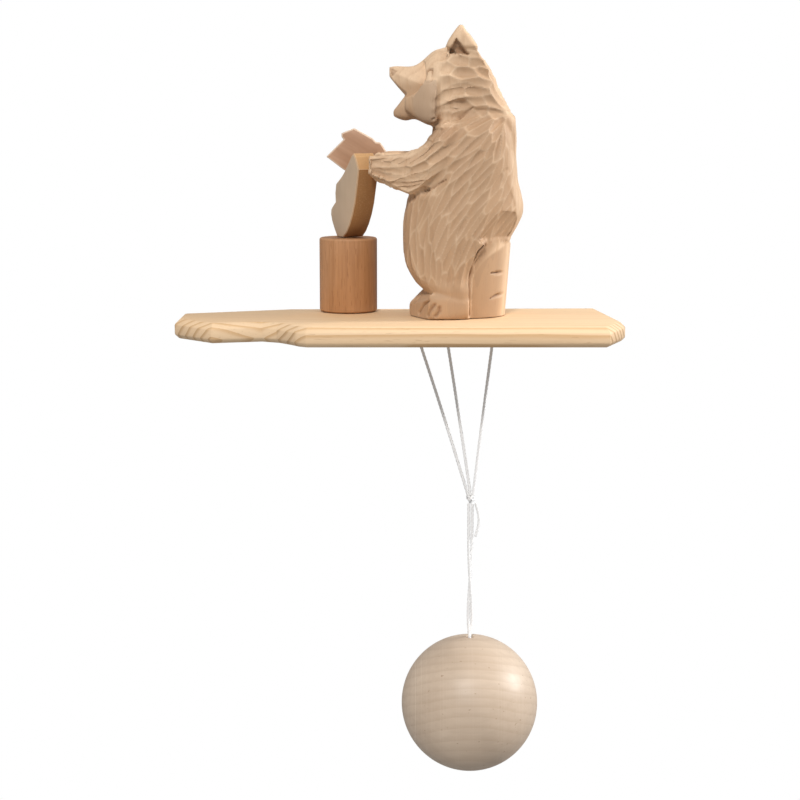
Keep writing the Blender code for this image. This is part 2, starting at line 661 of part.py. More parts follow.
def sphere_profile(radius, squash=1.0, centre=0.0, steps=8):
    """(radius, height) points of a ball, or of one squashed along its axis, from its foot up."""
    points = []
    for i in range(steps + 1):
        turn = math.pi * i / steps
        around = 0.0 if i in (0, steps) else radius * math.sin(turn)
        points.append((around, centre - radius * squash * math.cos(turn)))
    return points


def ball_profile(seat_height):
    """The bored ball's (radius, height) loop: round the outside, then up its seat and bore."""
    bore = STRAND_SPACING / 2 + STRING_DIAMETER / 2 + GAP
    seat = BALL_KNOT_RADIUS + 2 * GAP
    top = math.asin(bore / BALL_RADIUS)
    foot = math.pi - math.asin(seat / BALL_RADIUS)
    steps = 22
    points = []
    for i in range(steps + 1):
        turn = top + (foot - top) * i / steps
        points.append((BALL_RADIUS * math.sin(turn), BALL_RADIUS * math.cos(turn)))
    return [*points, (seat, seat_height), (bore, seat_height)]


def build_inner_strings():
    """The strings' fixed stretches: the pull string in the bear, two ends under their pegs."""
    bend, head = pull_string_line()
    foot = Vector((bend.x, bend.y, 2 * GAP))
    route = between(foot, bend, 2 * MM)[:-1] + between(bend, head, 3 * MM)
    cord("pull_string", route, STRING_DIAMETER)
    top = BOARD_THICK - GAP - STRING_PEG_LENGTH - GAP
    for name, x in zip(("string_end_front", "string_end_middle"), STRING_HOLES_X):
        cord(name, between((x, BEAR_Y, 2 * GAP), (x, BEAR_Y, top), 1 * MM), STRING_DIAMETER)


def build_fan():
    """The three strings below the board, and the knot that gathers them."""
    fan_frame = add_empty("fan_hinge", (HANG_X, BEAR_Y, 0))
    knot = Vector((HANG_X, BEAR_Y, KNOT_Z))
    names = ("fan_string_front", "fan_string_middle", "fan_string_rear")
    for name, x in zip(names, STRING_HOLES_X):
        start = Vector((x, BEAR_Y, 0))
        along = (knot - start).normalized()
        side = (names.index(name) - 1) * STRING_DIAMETER * 1.1
        end = knot - along * (KNOT_RADIUS + GAP) + Vector((side, 0, 0))
        cord(name, between(start, end, 3 * MM), STRING_DIAMETER, fan_frame)
    mesh = turned("fan_knot", sphere_profile(KNOT_RADIUS, 1.0), 20, smooth_angle=60.0)
    add_object("fan_knot", mesh, cotton(), fan_frame, knot)
    return fan_frame


def build_pendulum(fan_frame):
    """The doubled cord, its loose tail, the ball and the knot that the ball hangs on."""
    swing = add_empty("ball_swing", (HANG_X, BEAR_Y, KNOT_Z), fan_frame)
    top = KNOT_Z - KNOT_RADIUS - GAP
    seat = BALL_Z - BALL_RADIUS + BALL_SEAT_DEPTH
    knot_z = seat - GAP - BALL_KNOT_RADIUS
    for name, side in (("hanging_cord_left", -1), ("hanging_cord_right", 1)):
        x = HANG_X + side * STRAND_SPACING / 2
        cord(name, between((x, BEAR_Y, top), (x, BEAR_Y, seat), 3 * MM),
             STRING_DIAMETER, swing)

    def tail_point(share):
        out = STRAND_SPACING / 2 + STRING_DIAMETER + GAP + 1.3 * MM * math.sin(math.pi * share)
        return (HANG_X + out, BEAR_Y, top - share * TAIL_LENGTH)

    cord("cord_tail", [tail_point(i / 6) for i in range(7)], STRING_DIAMETER, swing)

    mesh = turned("ball", ball_profile(seat - BALL_Z), 48, smooth_angle=50.0, bored=True)
    add_object("ball", mesh, wood("pale_birch"), swing, (HANG_X, BEAR_Y, BALL_Z))
    mesh = turned("ball_knot", sphere_profile(BALL_KNOT_RADIUS, 1.0), 20, smooth_angle=60.0)
    add_object("ball_knot", mesh, cotton(), swing, (HANG_X, BEAR_Y, knot_z))


clear_scene()
build_board()
build_bear()
build_block_and_shoe()
build_nails_and_pegs(build_arm())
build_inner_strings()
build_pendulum(build_fan())
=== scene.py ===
"""The carved balance toy as it looks: a gouge-carved bear, sawn and turned woods, twisted strings.

The frame is the toy's own: +X away from the handle, +Z up, and the bear looks towards -X.
Sizes are in metres, with MM after a value in millimetres. Carving alone is worked out in plain
millimetres, from the board's top and the bear's middle plane, and put in place at its end.
"""

import math

import bmesh
import bpy
import numpy as np
from mathutils import Matrix, Vector


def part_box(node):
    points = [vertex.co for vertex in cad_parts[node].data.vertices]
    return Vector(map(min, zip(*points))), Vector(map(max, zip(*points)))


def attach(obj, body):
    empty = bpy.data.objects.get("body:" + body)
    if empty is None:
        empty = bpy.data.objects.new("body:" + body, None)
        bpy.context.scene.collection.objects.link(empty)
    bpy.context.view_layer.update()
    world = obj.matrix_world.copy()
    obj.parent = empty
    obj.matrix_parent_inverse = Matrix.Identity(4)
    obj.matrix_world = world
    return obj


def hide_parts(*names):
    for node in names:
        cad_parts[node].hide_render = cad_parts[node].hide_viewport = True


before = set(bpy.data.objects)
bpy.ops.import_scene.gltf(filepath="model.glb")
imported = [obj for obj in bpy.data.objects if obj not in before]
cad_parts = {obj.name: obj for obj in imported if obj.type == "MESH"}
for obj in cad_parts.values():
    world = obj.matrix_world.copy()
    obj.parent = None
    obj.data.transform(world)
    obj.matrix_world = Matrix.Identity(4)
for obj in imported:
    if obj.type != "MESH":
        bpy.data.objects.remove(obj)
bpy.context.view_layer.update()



def centre_of(node):
    low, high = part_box(node)
    return (low + high) / 2


MM = 0.001
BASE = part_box("bear_figure")[0].z                   # where the bear stands
MIDDLE = sum(c.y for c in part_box("fan_knot")) / 2   # the bear's and the strings' middle plane
BOARD_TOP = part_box("board")[1].z
ARM_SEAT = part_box("far_arm")[0].y - 0.3 * MM        # the flat that the moving arm lies on
PIVOT = centre_of("arm_pivot_nail")
PEG = centre_of("hammer_peg")
FLOOR = -0.30                    # well below the ball
STRING = 1.1 * MM
PLY_TURN = 4.2                   # one turn of the plies, in string diameters
PAIR_TURNS = 2.5                 # turns of the two hanging cords round each other
PAIR_APART = 0.62 * MM           # from the pair's middle to each of its cords
NAIL_WIRE = 1.8 * MM
SHOE_TURN = math.radians(56)     # how far the shoe's flat face is turned from the board's length

# The stump under the bear, in millimetres.
STUMP_X = 84.0
STUMP_FOOT = 13.4
STUMP_FLARE = 1.9                # how much wider it is at its top than at its foot
STUMP_HEIGHT = 26.2


# ---------------------------------------------------------------- camera, light and floor

def build_camera():
    """Looks along +Y from a little above the board, at the toy's middle."""
    data = bpy.data.cameras.new("camera")
    data.lens = 82.35
    data.sensor_width = 36.0
    data.clip_start = 0.01
    camera = bpy.data.objects.new("camera", data)
    bpy.context.scene.collection.objects.link(camera)
    camera.location = (0.060, MIDDLE - 0.650, BOARD_TOP + 0.0726)
    camera.rotation_euler = (math.radians(90 - 9.04), 0, 0)
    bpy.context.scene.camera = camera


def build_sun(name, source, power, softness, colour=(1, 1, 1)):
    """A soft, distant lamp that shines from the direction of `source`."""
    data = bpy.data.lights.new(name, "SUN")
    data.energy = power
    data.angle = math.radians(softness)
    data.color = colour
    light = bpy.data.objects.new(name, data)
    bpy.context.scene.collection.objects.link(light)
    light.location = source
    light.rotation_euler = (-Vector(source)).to_track_quat("-Z", "Y").to_euler()


def build_studio():
    """A tent, brightest overhead and to the right, above a floor that throws only a little
    light back up. The camera sees both as plain white."""
    world = bpy.data.worlds.new("studio")
    bpy.context.scene.world = world
    world.use_nodes = True
    tent = Tree(world.node_tree)
    facing = tent.node("ShaderNodeTexCoord", out="Generated")
    x, z = split(tent, facing, "X"), split(tent, facing, "Z")
    glow = z.band(0.0, 0.85) * 0.14 + x.band(0.2, 0.95) * 0.25 + 0.40
    seen = tent.node("ShaderNodeLightPath", out="Is Camera Ray")
    strength = glow * (1 - seen) + seen
    tent.fill(world.node_tree.nodes["Background"], {"Strength": strength, "Color": (1, 1, 1, 1)})
    build_sun("key", (-0.20, -1.0, 0.85), 2.0, 9.0, (1.0, 0.97, 0.94))
    build_sun("side", (1.0, 0.12, 0.45), 2.6, 9.0)

    paint = Paint("floor")
    grey = paint.finish({"Base Color": (0.29, 0.287, 0.283, 1.0), "Roughness": 0.9})
    white = paint.node("ShaderNodeEmission", None, {"Strength": 1.0})
    mix = paint.tree.nodes.new("ShaderNodeMixShader")
    paint.fill(mix, {0: paint.node("ShaderNodeLightPath", out="Is Camera Ray"), 2: white})
    paint.tree.links.new(paint.shader.outputs[0], mix.inputs[1])
    paint.tree.links.new(mix.outputs[0], paint.output.inputs["Surface"])
    bm = bmesh.new()
    bmesh.ops.create_grid(bm, x_segments=1, y_segments=1, size=40.0)
    bmesh.ops.translate(bm, verts=bm.verts, vec=(0, 0, FLOOR))
    add_piece("floor", mesh_of("floor", bm), grey)
    bpy.context.scene.view_settings.view_transform = "Standard"


# ---------------------------------------------------------------- small tools

def mesh_of(name, bm):
    mesh = bpy.data.meshes.new(name)
    bm.to_mesh(mesh)
    bm.free()
    return mesh


def add_piece(name, mesh, finish=None):
    piece = bpy.data.objects.new(name, mesh)
    bpy.context.scene.collection.objects.link(piece)
    if finish is not None:
        mesh.materials.clear()
        mesh.materials.append(finish)
    return piece


class Wire:
    """One value in a material. Sums with it add Math nodes."""

    def __init__(self, paint, socket):
        self.paint = paint
        self.socket = socket

    def sum(self, operation, *others):
        values = {i: other for i, other in enumerate(others)}
        return self.paint.node("ShaderNodeMath", {"operation": operation}, values)

    def __add__(self, other):
        return self.sum("ADD", self, other)

    __radd__ = __add__

    def __mul__(self, other):
        return self.sum("MULTIPLY", self, other)

    __rmul__ = __mul__

    def __sub__(self, other):
        return self.sum("SUBTRACT", self, other)

    def __rsub__(self, other):
        return self.sum("SUBTRACT", other, self)

    def __truediv__(self, other):
        return self.sum("DIVIDE", self, other)

    def __pow__(self, other):
        return self.sum("POWER", self, other)

    def band(self, low, high):
        """0 below low, 1 above high, and smooth between them."""
        return self.paint.node("ShaderNodeMapRange", {"interpolation_type": "SMOOTHSTEP"},
                               {"Value": self, "From Min": low, "From Max": high})


class Tree:
    """Adds nodes to one node tree."""

    def __init__(self, tree):
        self.tree = tree

    def fill(self, node, sockets):
        for key, value in sockets.items():
            if isinstance(value, Wire):
                self.tree.links.new(value.socket, node.inputs[key])
            else:
                node.inputs[key].default_value = value

    def node(self, kind, settings=None, sockets=None, out=0):
        """Adds any node: its settings first, then its sockets; gives the wire of one output."""
        made = self.tree.nodes.new(kind)
        for key, value in (settings or {}).items():
            setattr(made, key, value)
        self.fill(made, sockets or {})
        return Wire(self, made.outputs[out])


class Paint(Tree):
    """Builds one material's nodes."""

    def __init__(self, name):
        self.material = bpy.data.materials.new(name)
        self.material.use_nodes = True
        super().__init__(self.material.node_tree)
        self.tree.nodes.clear()
        self.shader = self.tree.nodes.new("ShaderNodeBsdfPrincipled")
        self.output = self.tree.nodes.new("ShaderNodeOutputMaterial")
        self.tree.links.new(self.shader.outputs[0], self.output.inputs["Surface"])

    def finish(self, sockets):
        self.fill(self.shader, sockets)
        return self.material

    def object_place(self, stretch=(1, 1, 1), turn=(0, 0, 0), shift=(0, 0, 0)):
        """Object coordinates, moved, turned and stretched."""
        place = self.node("ShaderNodeTexCoord", out="Object")
        return self.node("ShaderNodeMapping", {"vector_type": "TEXTURE"}, {
            "Vector": place, "Location": shift, "Rotation": turn,
            "Scale": tuple(1 / s for s in stretch),
        })

    def noise(self, place, scale, detail=2.0, roughness=0.5, distortion=0.0):
        return self.node("ShaderNodeTexNoise", None, {
            "Vector": place, "Scale": scale, "Detail": detail, "Roughness": roughness,
            "Distortion": distortion,
        })

    def mixed(self, factor, first, second, blend="MIX"):
        return self.node("ShaderNodeMix", {"data_type": "RGBA", "blend_type": blend},
                         {0: factor, 6: first, 7: second}, out=2)

    def attribute(self, name):
        return self.node("ShaderNodeAttribute", {"attribute_name": name}, out="Fac")

    def bump(self, height, distance, strength=1.0, normal=None):
        sockets = {"Height": height, "Distance": distance, "Strength": strength}
        if normal is not None:
            sockets["Normal"] = normal
        return self.node("ShaderNodeBump", None, sockets)


def split(paint, vector, axis):
    return paint.node("ShaderNodeSeparateXYZ", None, {"Vector": vector}, out=axis)


# ---------------------------------------------------------------- woods

def wood_grain(paint, pith, along, ring_width, waviness=0.25):
    """How far through its yearly ring each point is, 0 to 1, for a trunk along one axis.

    pith is the trunk's middle line, as a point; along is "X", "Y" or "Z".
    """
    stretch = {"X": (1, 8, 8), "Y": (8, 1, 8), "Z": (8, 8, 1)}[along]
    sway = paint.noise(paint.object_place(stretch), 9.0, 2.0)
    flat = {"X": (0, 1, 1), "Y": (1, 0, 1), "Z": (1, 1, 0)}[along]
    place = paint.node("ShaderNodeTexCoord", out="Object")
    offset = paint.node("ShaderNodeVectorMath", {"operation": "SUBTRACT"}, {0: place, 1: pith})
    flat_offset = paint.node("ShaderNodeVectorMath", {"operation": "MULTIPLY"},
                             {0: offset, 1: flat})
    far = paint.node("ShaderNodeVectorMath", {"operation": "LENGTH"}, {0: flat_offset},
                     out="Value")
    rings = far / ring_width + (sway - 0.5) * waviness * 10.0
    return rings.sum("FRACT", rings)


def fibres(paint, along, fineness=1.0):
    """Fine fibre streaks along one axis, about 0.5 on average."""
    long, across = 40 * fineness, 900 * fineness
    stretch = {"X": (long, across, across), "Y": (across, long, across),
               "Z": (across, across, long)}[along]
    return paint.noise(paint.object_place(stretch), 1.0, 3.0, 0.6)


def pores(paint, along, amount=0.64):
    """Short dark dashes along one axis: 1 in a pore."""
    stretch = {"X": (220, 2600, 2600), "Y": (2600, 220, 2600), "Z": (2600, 2600, 220)}[along]
    return paint.noise(paint.object_place(stretch), 1.0, 1.0, 0.4).band(amount, amount + 0.06)


def paint_carved_linden():
    """Bare linden under the knife, with faint rings, a painted highlight on the crests between
    its scoops, and painted shade in its troughs and deep cuts, on its sides and under the chin.
    """
    paint = Paint("carved_linden")
    tone = paint.noise(paint.object_place((1, 1, 0.4)), 28.0, 3.0)
    grain = wood_grain(paint, (0.02, 0.16, 0.0), "Z", 2.6 * MM, 0.35)
    base = paint.mixed(tone.band(0.35, 0.65), (0.730, 0.515, 0.335, 1), (0.800, 0.590, 0.400, 1))
    # A shaded copy of the wood, for the painted shade on the sides and under the chin.
    shaded_wood = paint.mixed(tone.band(0.35, 0.65), (0.435, 0.275, 0.163, 1), (0.500, 0.325, 0.198, 1))
    base = paint.mixed(paint.attribute("painted_shade"), base, shaded_wood)
    base = paint.mixed(paint.attribute("tone") * 0.6, base, (0.775, 0.560, 0.375, 1))
    base = paint.mixed(grain.band(0.55, 1.0) * 0.35, base, (0.560, 0.352, 0.205, 1))
    base = paint.mixed((fibres(paint, "Z") - 0.35) * 0.6, base, (0.500, 0.308, 0.175, 1))
    # Painted shade in the gouge troughs.
    base = paint.mixed(paint.attribute("hollow_shade") * 0.30, base, (0.430, 0.262, 0.150, 1))
    # Painted highlight along the crests between scoops.
    base = paint.mixed(paint.attribute("ridge_highlight") * 0.25, base, (0.860, 0.670, 0.470, 1))
    # Painted shade in the cuts, the ear and nose insets, under the jaw and in the throat.
    base = paint.mixed(paint.attribute("cut") * 0.8, base, (0.240, 0.115, 0.055, 1))
    base = paint.mixed(paint.attribute("end_grain") * 0.55, base, (0.440, 0.330, 0.240, 1))
    base = paint.mixed(pores(paint, "Z") * 0.22, base, (0.360, 0.205, 0.110, 1))
    rough = fibres(paint, "Z") * 0.2 + 0.5
    height = fibres(paint, "Z", 1.6) * 0.6 + paint.noise(paint.object_place(), 1400.0) * 0.4
    return paint.finish({"Base Color": base, "Roughness": rough,
                         "Normal": paint.bump(height, 0.07 * MM, 0.6),
                         "Specular IOR Level": 0.3})


def paint_pine():
    """Planed pine: wide pale rings with thin orange late wood, along the board."""
    paint = Paint("pine_board")
    grain = wood_grain(paint, (0.0, -0.060, -0.034), "X", 2.7 * MM, 0.16)
    late = grain.band(0.45, 0.93) * (1 - grain.band(0.95, 1.0))
    tone = paint.noise(paint.object_place((0.25, 1, 1)), 30.0, 3.0)
    base = paint.mixed(tone.band(0.3, 0.7), (0.800, 0.560, 0.335, 1), (0.850, 0.625, 0.400, 1))
    base = paint.mixed(late * 0.66, base, (0.600, 0.350, 0.150, 1))
    base = paint.mixed((fibres(paint, "X") - 0.4) * 0.45, base, (0.640, 0.430, 0.235, 1))
    base = paint.mixed(paint.attribute("end_grain") * (0.26 + late * 0.60), base,
                       (0.340, 0.205, 0.105, 1))
    base = paint.mixed(pores(paint, "X", 0.68) * 0.35, base, (0.480, 0.290, 0.140, 1))
    planing = paint.noise(paint.object_place((0.5, 1, 1)), 90.0, 2.0)
    height = fibres(paint, "X", 1.3) * 0.5 + late * 0.25 + planing * 0.6
    return paint.finish({"Base Color": base, "Roughness": fibres(paint, "X") * 0.2 + 0.48,
                         "Normal": paint.bump(height, 0.10 * MM, 0.5),
                         "Specular IOR Level": 0.35})


def paint_turned(name, pale, dark, deep, along, pith, ring_width, gloss=0.5, speckle=0.4):
    """A plain close-grained wood with rings along one axis."""
    paint = Paint(name)
    grain = wood_grain(paint, pith, along, ring_width, 0.22)
    tone = paint.noise(paint.object_place(), 45.0, 3.0)
    base = paint.mixed(tone.band(0.35, 0.65), pale, dark)
    base = paint.mixed(grain.band(0.4, 1.0) * 0.45, base, dark)
    base = paint.mixed((fibres(paint, along) - 0.38) * 1.3, base, deep)
    base = paint.mixed(pores(paint, along, 0.62) * speckle, base, deep)
    base = paint.mixed(paint.attribute("end_grain") * 0.6, base, deep)
    # Painted highlight on eased edges.
    base = paint.mixed(paint.attribute("ridge_highlight") * 0.40, base, pale)
    height = fibres(paint, along, 1.4) * 0.7 + pores(paint, along, 0.62) * -0.5
    return paint.finish({"Base Color": base,
                         "Roughness": fibres(paint, along) * 0.18 + gloss - 0.05,
                         "Normal": paint.bump(height, 0.07 * MM, 0.5),
                         "Specular IOR Level": 0.35})


def paint_cotton():
    """White three-ply cotton, with fine fibres along each ply and painted shade in the valleys between
    the plies.
    """
    paint = Paint("cotton")
    fuzz = paint.noise(paint.object_place(), 5200.0, 2.0, 0.6)
    shade = paint.attribute("valley_shade")
    base = paint.mixed(fuzz.band(0.3, 0.7), (0.860, 0.862, 0.866, 1), (0.930, 0.932, 0.935, 1))
    # Painted shade between the plies.
    base = paint.mixed(shade * 0.30, base, (0.600, 0.600, 0.605, 1))
    return paint.finish({"Base Color": base, "Roughness": fuzz * 0.1 + 0.85,
                         "Normal": paint.bump(fuzz, 0.08 * MM, 0.6),
                         "Specular IOR Level": 0.2})


def paint_steel():
    """Bright wire steel, with a little wear."""
    paint = Paint("steel")
    wear = paint.noise(paint.object_place(), 900.0, 4.0, 0.6)
    base = paint.mixed(wear.band(0.35, 0.7), (0.560, 0.550, 0.530, 1), (0.400, 0.385, 0.360, 1))
    return paint.finish({"Base Color": base, "Roughness": wear * 0.3 + 0.22, "Metallic": 1.0,
                         "Normal": paint.bump(wear, 0.03 * MM, 0.5)})


# ---------------------------------------------------------------- carving

# The body's rows: height, front, back, half width, squareness.
BODY_ROWS = (
    (-1.0, 70.5, 86.0, 16.6, 3.2),
    (8.0, 69.5, 87.5, 17.4, 3.0),
    (11.5, 65.5, 88.5, 18.0, 2.8),
    (15.3, 62.8, 90.0, 18.3, 2.6),
    (20.0, 61.4, 93.5, 18.5, 2.5),
    (26.5, 60.8, 98.8, 18.5, 2.5),
    (34.5, 61.0, 103.2, 18.2, 2.5),
    (38.5, 61.8, 103.8, 18.0, 2.5),
    (43.0, 63.0, 103.0, 17.5, 2.6),
    (48.0, 65.5, 101.8, 17.3, 2.7),
    (55.0, 68.5, 101.3, 17.0, 2.8),
    (61.0, 70.5, 101.2, 16.2, 2.8),
    (66.0, 71.5, 101.1, 14.6, 2.6),
    (70.0, 74.0, 100.8, 12.0, 2.4),
    (72.5, 78.0, 99.0, 8.5, 2.2),
)

# Rows across the length: place along X, lowest, highest, sideways centre from the middle plane
# (minus is the near side), half width, squareness.
HEAD_ROWS = (
    (56.3, 83.4, 86.7, 0.0, 1.9, 2.6),
    (58.0, 81.3, 87.0, 0.0, 3.3, 2.6),
    (60.5, 78.4, 87.0, 0.0, 4.3, 2.6),
    (63.0, 75.8, 86.9, 0.0, 5.2, 2.5),
    (65.5, 73.0, 87.4, 0.0, 6.6, 2.4),
    (68.0, 70.0, 89.1, 0.0, 8.6, 2.4),
    (71.5, 67.0, 92.1, 0.0, 10.6, 2.4),
    (75.5, 64.0, 93.6, 0.0, 11.6, 2.4),
    (80.0, 62.0, 93.8, 0.0, 12.0, 2.4),
    (85.0, 60.0, 92.9, 0.0, 12.0, 2.4),
    (89.0, 58.0, 91.0, 0.0, 11.8, 2.4),
    (92.0, 56.0, 86.8, 0.0, 11.6, 2.4),
    (95.0, 54.0, 80.2, 0.0, 11.4, 2.4),
    (98.0, 52.0, 74.4, 0.0, 11.0, 2.4),
    (100.6, 50.0, 70.6, 0.0, 9.4, 2.4),
)
JAW_ROWS = (
    (57.7, 69.8, 71.7, 0.0, 1.7, 2.6),
    (59.6, 68.8, 74.0, 0.0, 3.2, 2.6),
    (62.0, 68.2, 77.0, 0.0, 4.3, 2.6),
    (65.2, 68.7, 79.0, 0.0, 5.4, 2.6),
    (70.0, 66.7, 80.0, 0.0, 7.6, 2.6),
    (75.0, 66.0, 79.0, 0.0, 8.0, 2.6),
)
CHEEK_ROWS = (
    (61.8, 72.0, 77.6, 5.2, 1.4, 2.2),
    (65.0, 69.6, 80.2, 6.8, 2.2, 2.4),
    (69.0, 67.6, 82.0, 9.0, 2.8, 2.8),
    (72.4, 67.8, 82.4, 9.9, 2.5, 2.8),
    (72.9, 68.6, 81.6, 9.2, 1.8, 2.6),
)
EAR_ROWS = (
    (75.9, 86.0, 93.6, 7.6, 2.4, 3.0),
    (77.0, 86.0, 96.2, 7.9, 2.9, 3.2),
    (79.3, 86.0, 99.6, 8.0, 2.7, 3.2),
    (80.5, 86.0, 101.0, 8.0, 2.3, 3.0),
    (81.8, 86.0, 100.8, 7.9, 2.2, 3.0),
    (82.8, 86.0, 98.9, 7.8, 2.5, 3.0),
    (84.2, 86.0, 97.6, 7.6, 2.8, 3.0),
    (88.4, 84.0, 91.5, 7.0, 3.4, 2.8),
    (91.5, 80.0, 87.3, 6.4, 3.4, 2.6),
)
NEAR_ARM_ROWS = (
    (48.6, 48.9, 56.3, -3.9, 4.7, 4.5),
    (52.0, 46.6, 56.9, -4.4, 5.2, 4.0),
    (55.5, 44.9, 56.9, -5.4, 5.8, 3.6),
    (59.5, 43.4, 57.3, -7.0, 6.4, 3.3),
    (63.5, 42.5, 58.0, -8.7, 6.9, 3.2),
    (67.5, 43.8, 60.2, -10.0, 7.2, 3.0),
    (71.0, 46.0, 65.0, -10.6, 7.2, 2.8),
    (76.0, 48.0, 69.0, -10.0, 6.8, 2.6),
    (84.0, 52.0, 67.5, -7.5, 6.0, 2.4),
)
FOOT_ROWS = (
    (63.4, 0.5, 3.9, 4.2, 2.6, 3.2),
    (65.0, -1.0, 5.6, 5.6, 4.0, 3.4),
    (67.0, -1.0, 7.6, 7.4, 5.9, 3.6),
    (69.0, -1.0, 8.9, 8.9, 7.4, 4.0),
    (71.5, -1.0, 9.2, 9.9, 8.2, 4.5),
    (76.0, -1.0, 9.0, 10.0, 8.2, 4.5),
    (84.0, -1.0, 8.5, 9.2, 7.8, 3.0),
)

# Which way the gouge runs: along X, height, rise of the stroke in degrees.
STROKES = (
    (50, 52, -4), (56, 51, -2), (62, 50, 8), (66, 54, 22), (70, 56, 30), (76, 56, 34),
    (74, 63, 42), (82, 63, 42), (88, 66, 40), (84, 56, 44), (92, 60, 62), (98, 58, 86),
    (98, 70, 70), (70, 44, 58), (76, 46, 52), (86, 46, 46), (94, 42, 46), (64, 34, 78),
    (70, 34, 66), (78, 34, 58), (88, 36, 52), (97, 34, 52), (64, 20, 100), (68, 18, 112),
    (78, 20, 72), (86, 28, 56), (74, 10, 84), (84, 12, 78), (74, 76, 14), (80, 78, 10),
    (86, 74, 4), (92, 72, -16), (84, 82, -2), (90, 82, -24), (78, 84, 4), (94, 78, -50),
    (76, 90, 0), (84, 88, -14), (66, 84, -15), (60, 84, -8), (66, 74, 110), (70, 74, 100),
)
# Long channels down the near arm, between which its bright ridges stand: along X, height.
ARM_CHANNELS = (
    ((48.0, 51.6), (53.0, 49.9), (59.0, 49.6), (64.0, 50.8), (70.5, 54.6), (76.0, 58.4)),
    ((50.5, 50.0), (55.5, 47.4), (61.0, 46.2), (67.0, 47.8), (73.0, 51.2)),
    ((49.0, 55.2), (55.0, 54.0), (61.0, 54.0), (67.0, 57.2), (72.0, 61.6), (77.0, 66.0)),
)
EYE = ((66.8, 80.9), (68.1, 84.0), (68.9, 85.8), (69.8, 86.2), (70.4, 85.8), (70.5, 82.6))
JAW_CUT = ((71.6, 67.8), (76.6, 68.6), (80.6, 70.0), (84.6, 72.0))
NECK_CUTS = (((73.2, 74.2), (77.5, 78.0), (83.5, 79.0), (89.5, 77.2)),
             ((73.2, 70.4), (79.0, 74.0), (86.0, 74.4)))
LEG_CUT = ((92.8, 27.1), (90.2, 25.6), (88.0, 23.3), (86.1, 19.9), (85.3, 15.7), (85.0, 9.0),
           (85.0, 1.0))
STUMP_NICKS = (((92.4, 15.2), (95.0, 15.4), (99.6, 15.4)), ((92.4, 7.0), (95.0, 7.4), (99.2, 7.9)))
ARMPIT_CUT = ((64.2, 42.0), (68.3, 43.9), (71.0, 45.8), (75.2, 48.6))
TOE_SPLITS = (((66.8, 7.6), (65.0, 5.8), (62.6, 3.6)), ((69.0, 6.4), (67.6, 4.4), (65.9, 1.6)),
              ((71.2, 5.2), (70.2, 3.2), (68.8, 0.8)), ((73.4, 4.6), (73.0, 2.6), (72.2, 0.6)))
EAR_HOLLOW = ((79.3, 96.4), (76.4, 91.2), (84.0, 90.6))
NOSE = ((56.0, 86.8), (59.3, 85.3), (57.2, 83.0))


def superellipse(half_u, half_v, power, count):
    """Points round a rounded rectangle: power 2 is an ellipse, and more is squarer."""
    turn = 2 * np.pi * np.arange(count) / count
    c, s = np.cos(turn), np.sin(turn)
    return np.stack([half_u * np.sign(c) * np.abs(c) ** (2 / power),
                     half_v * np.sign(s) * np.abs(s) ** (2 / power)], axis=1)


def smooth_rows(rows, step):
    """Rows read from the smooth curve through the given rows, about `step` apart."""
    rows = np.array(rows, float)
    made = []
    for i in range(len(rows) - 1):
        before, after = rows[max(i - 1, 0)], rows[min(i + 2, len(rows) - 1)]
        low, high = rows[i], rows[i + 1]
        gap = high[0] - low[0]
        count = max(1, round(gap / step))
        lean_low = (high - before) / (high[0] - before[0]) * gap
        lean_high = (after - low) / (after[0] - low[0]) * gap
        for k in range(count):
            t = k / count
            made.append(low * (2 * t**3 - 3 * t**2 + 1) + lean_low * (t**3 - 2 * t**2 + t)
                        + high * (3 * t**2 - 2 * t**3) + lean_high * (t**3 - t**2))
    made.append(rows[-1])
    return made


def add_loft(bm, rings):
    rows = [[bm.verts.new(point) for point in ring] for ring in rings]
    count = len(rows[0])
    faces = []
    for lower, upper in zip(rows, rows[1:]):
        for i in range(count):
            j = (i + 1) % count
            faces.append(bm.faces.new((lower[i], lower[j], upper[j], upper[i])))
    faces += [bm.faces.new(rows[0]), bm.faces.new(rows[-1])]
    bmesh.ops.recalc_face_normals(bm, faces=faces)


def body_rings(rows, step=1.5, count=64):
    rings = []
    for height, front, back, half_width, power in smooth_rows(rows, step):
        oval = superellipse((back - front) / 2, half_width, power, count)
        centre = (front + back) / 2
        rings.append([(centre + u, v, height) for u, v in oval])
    return rings


def limb_rings(rows, side=1, step=1.0, count=48):
    rings = []
    for x, low, high, across, half_width, power in smooth_rows(rows, step):
        oval = superellipse(half_width, (high - low) / 2, power, count)
        rings.append([(x, side * (across + u), (low + high) / 2 + v) for u, v in oval])
    return rings


def remeshed(name, bm, voxel):
    """One skin round every shape in bm, made of small squares."""
    piece = add_piece(name, mesh_of(name, bm))
    remesh = piece.modifiers.new("skin", "REMESH")
    remesh.mode = "VOXEL"
    remesh.voxel_size = voxel
    remesh.adaptivity = 0.0
    graph = bpy.context.evaluated_depsgraph_get()
    mesh = bpy.data.meshes.new_from_object(piece.evaluated_get(graph))
    bpy.data.objects.remove(piece)
    return mesh


# Marks kept on the carved skin, in this order: a painted highlight along the crests, painted shade in
# the troughs, painted shade in the cuts, the end grain, a random tone for each scoop, and painted
# shade on the sides and under the chin.
MARKS = ("ridge_highlight", "hollow_shade", "cut", "end_grain", "tone", "painted_shade")


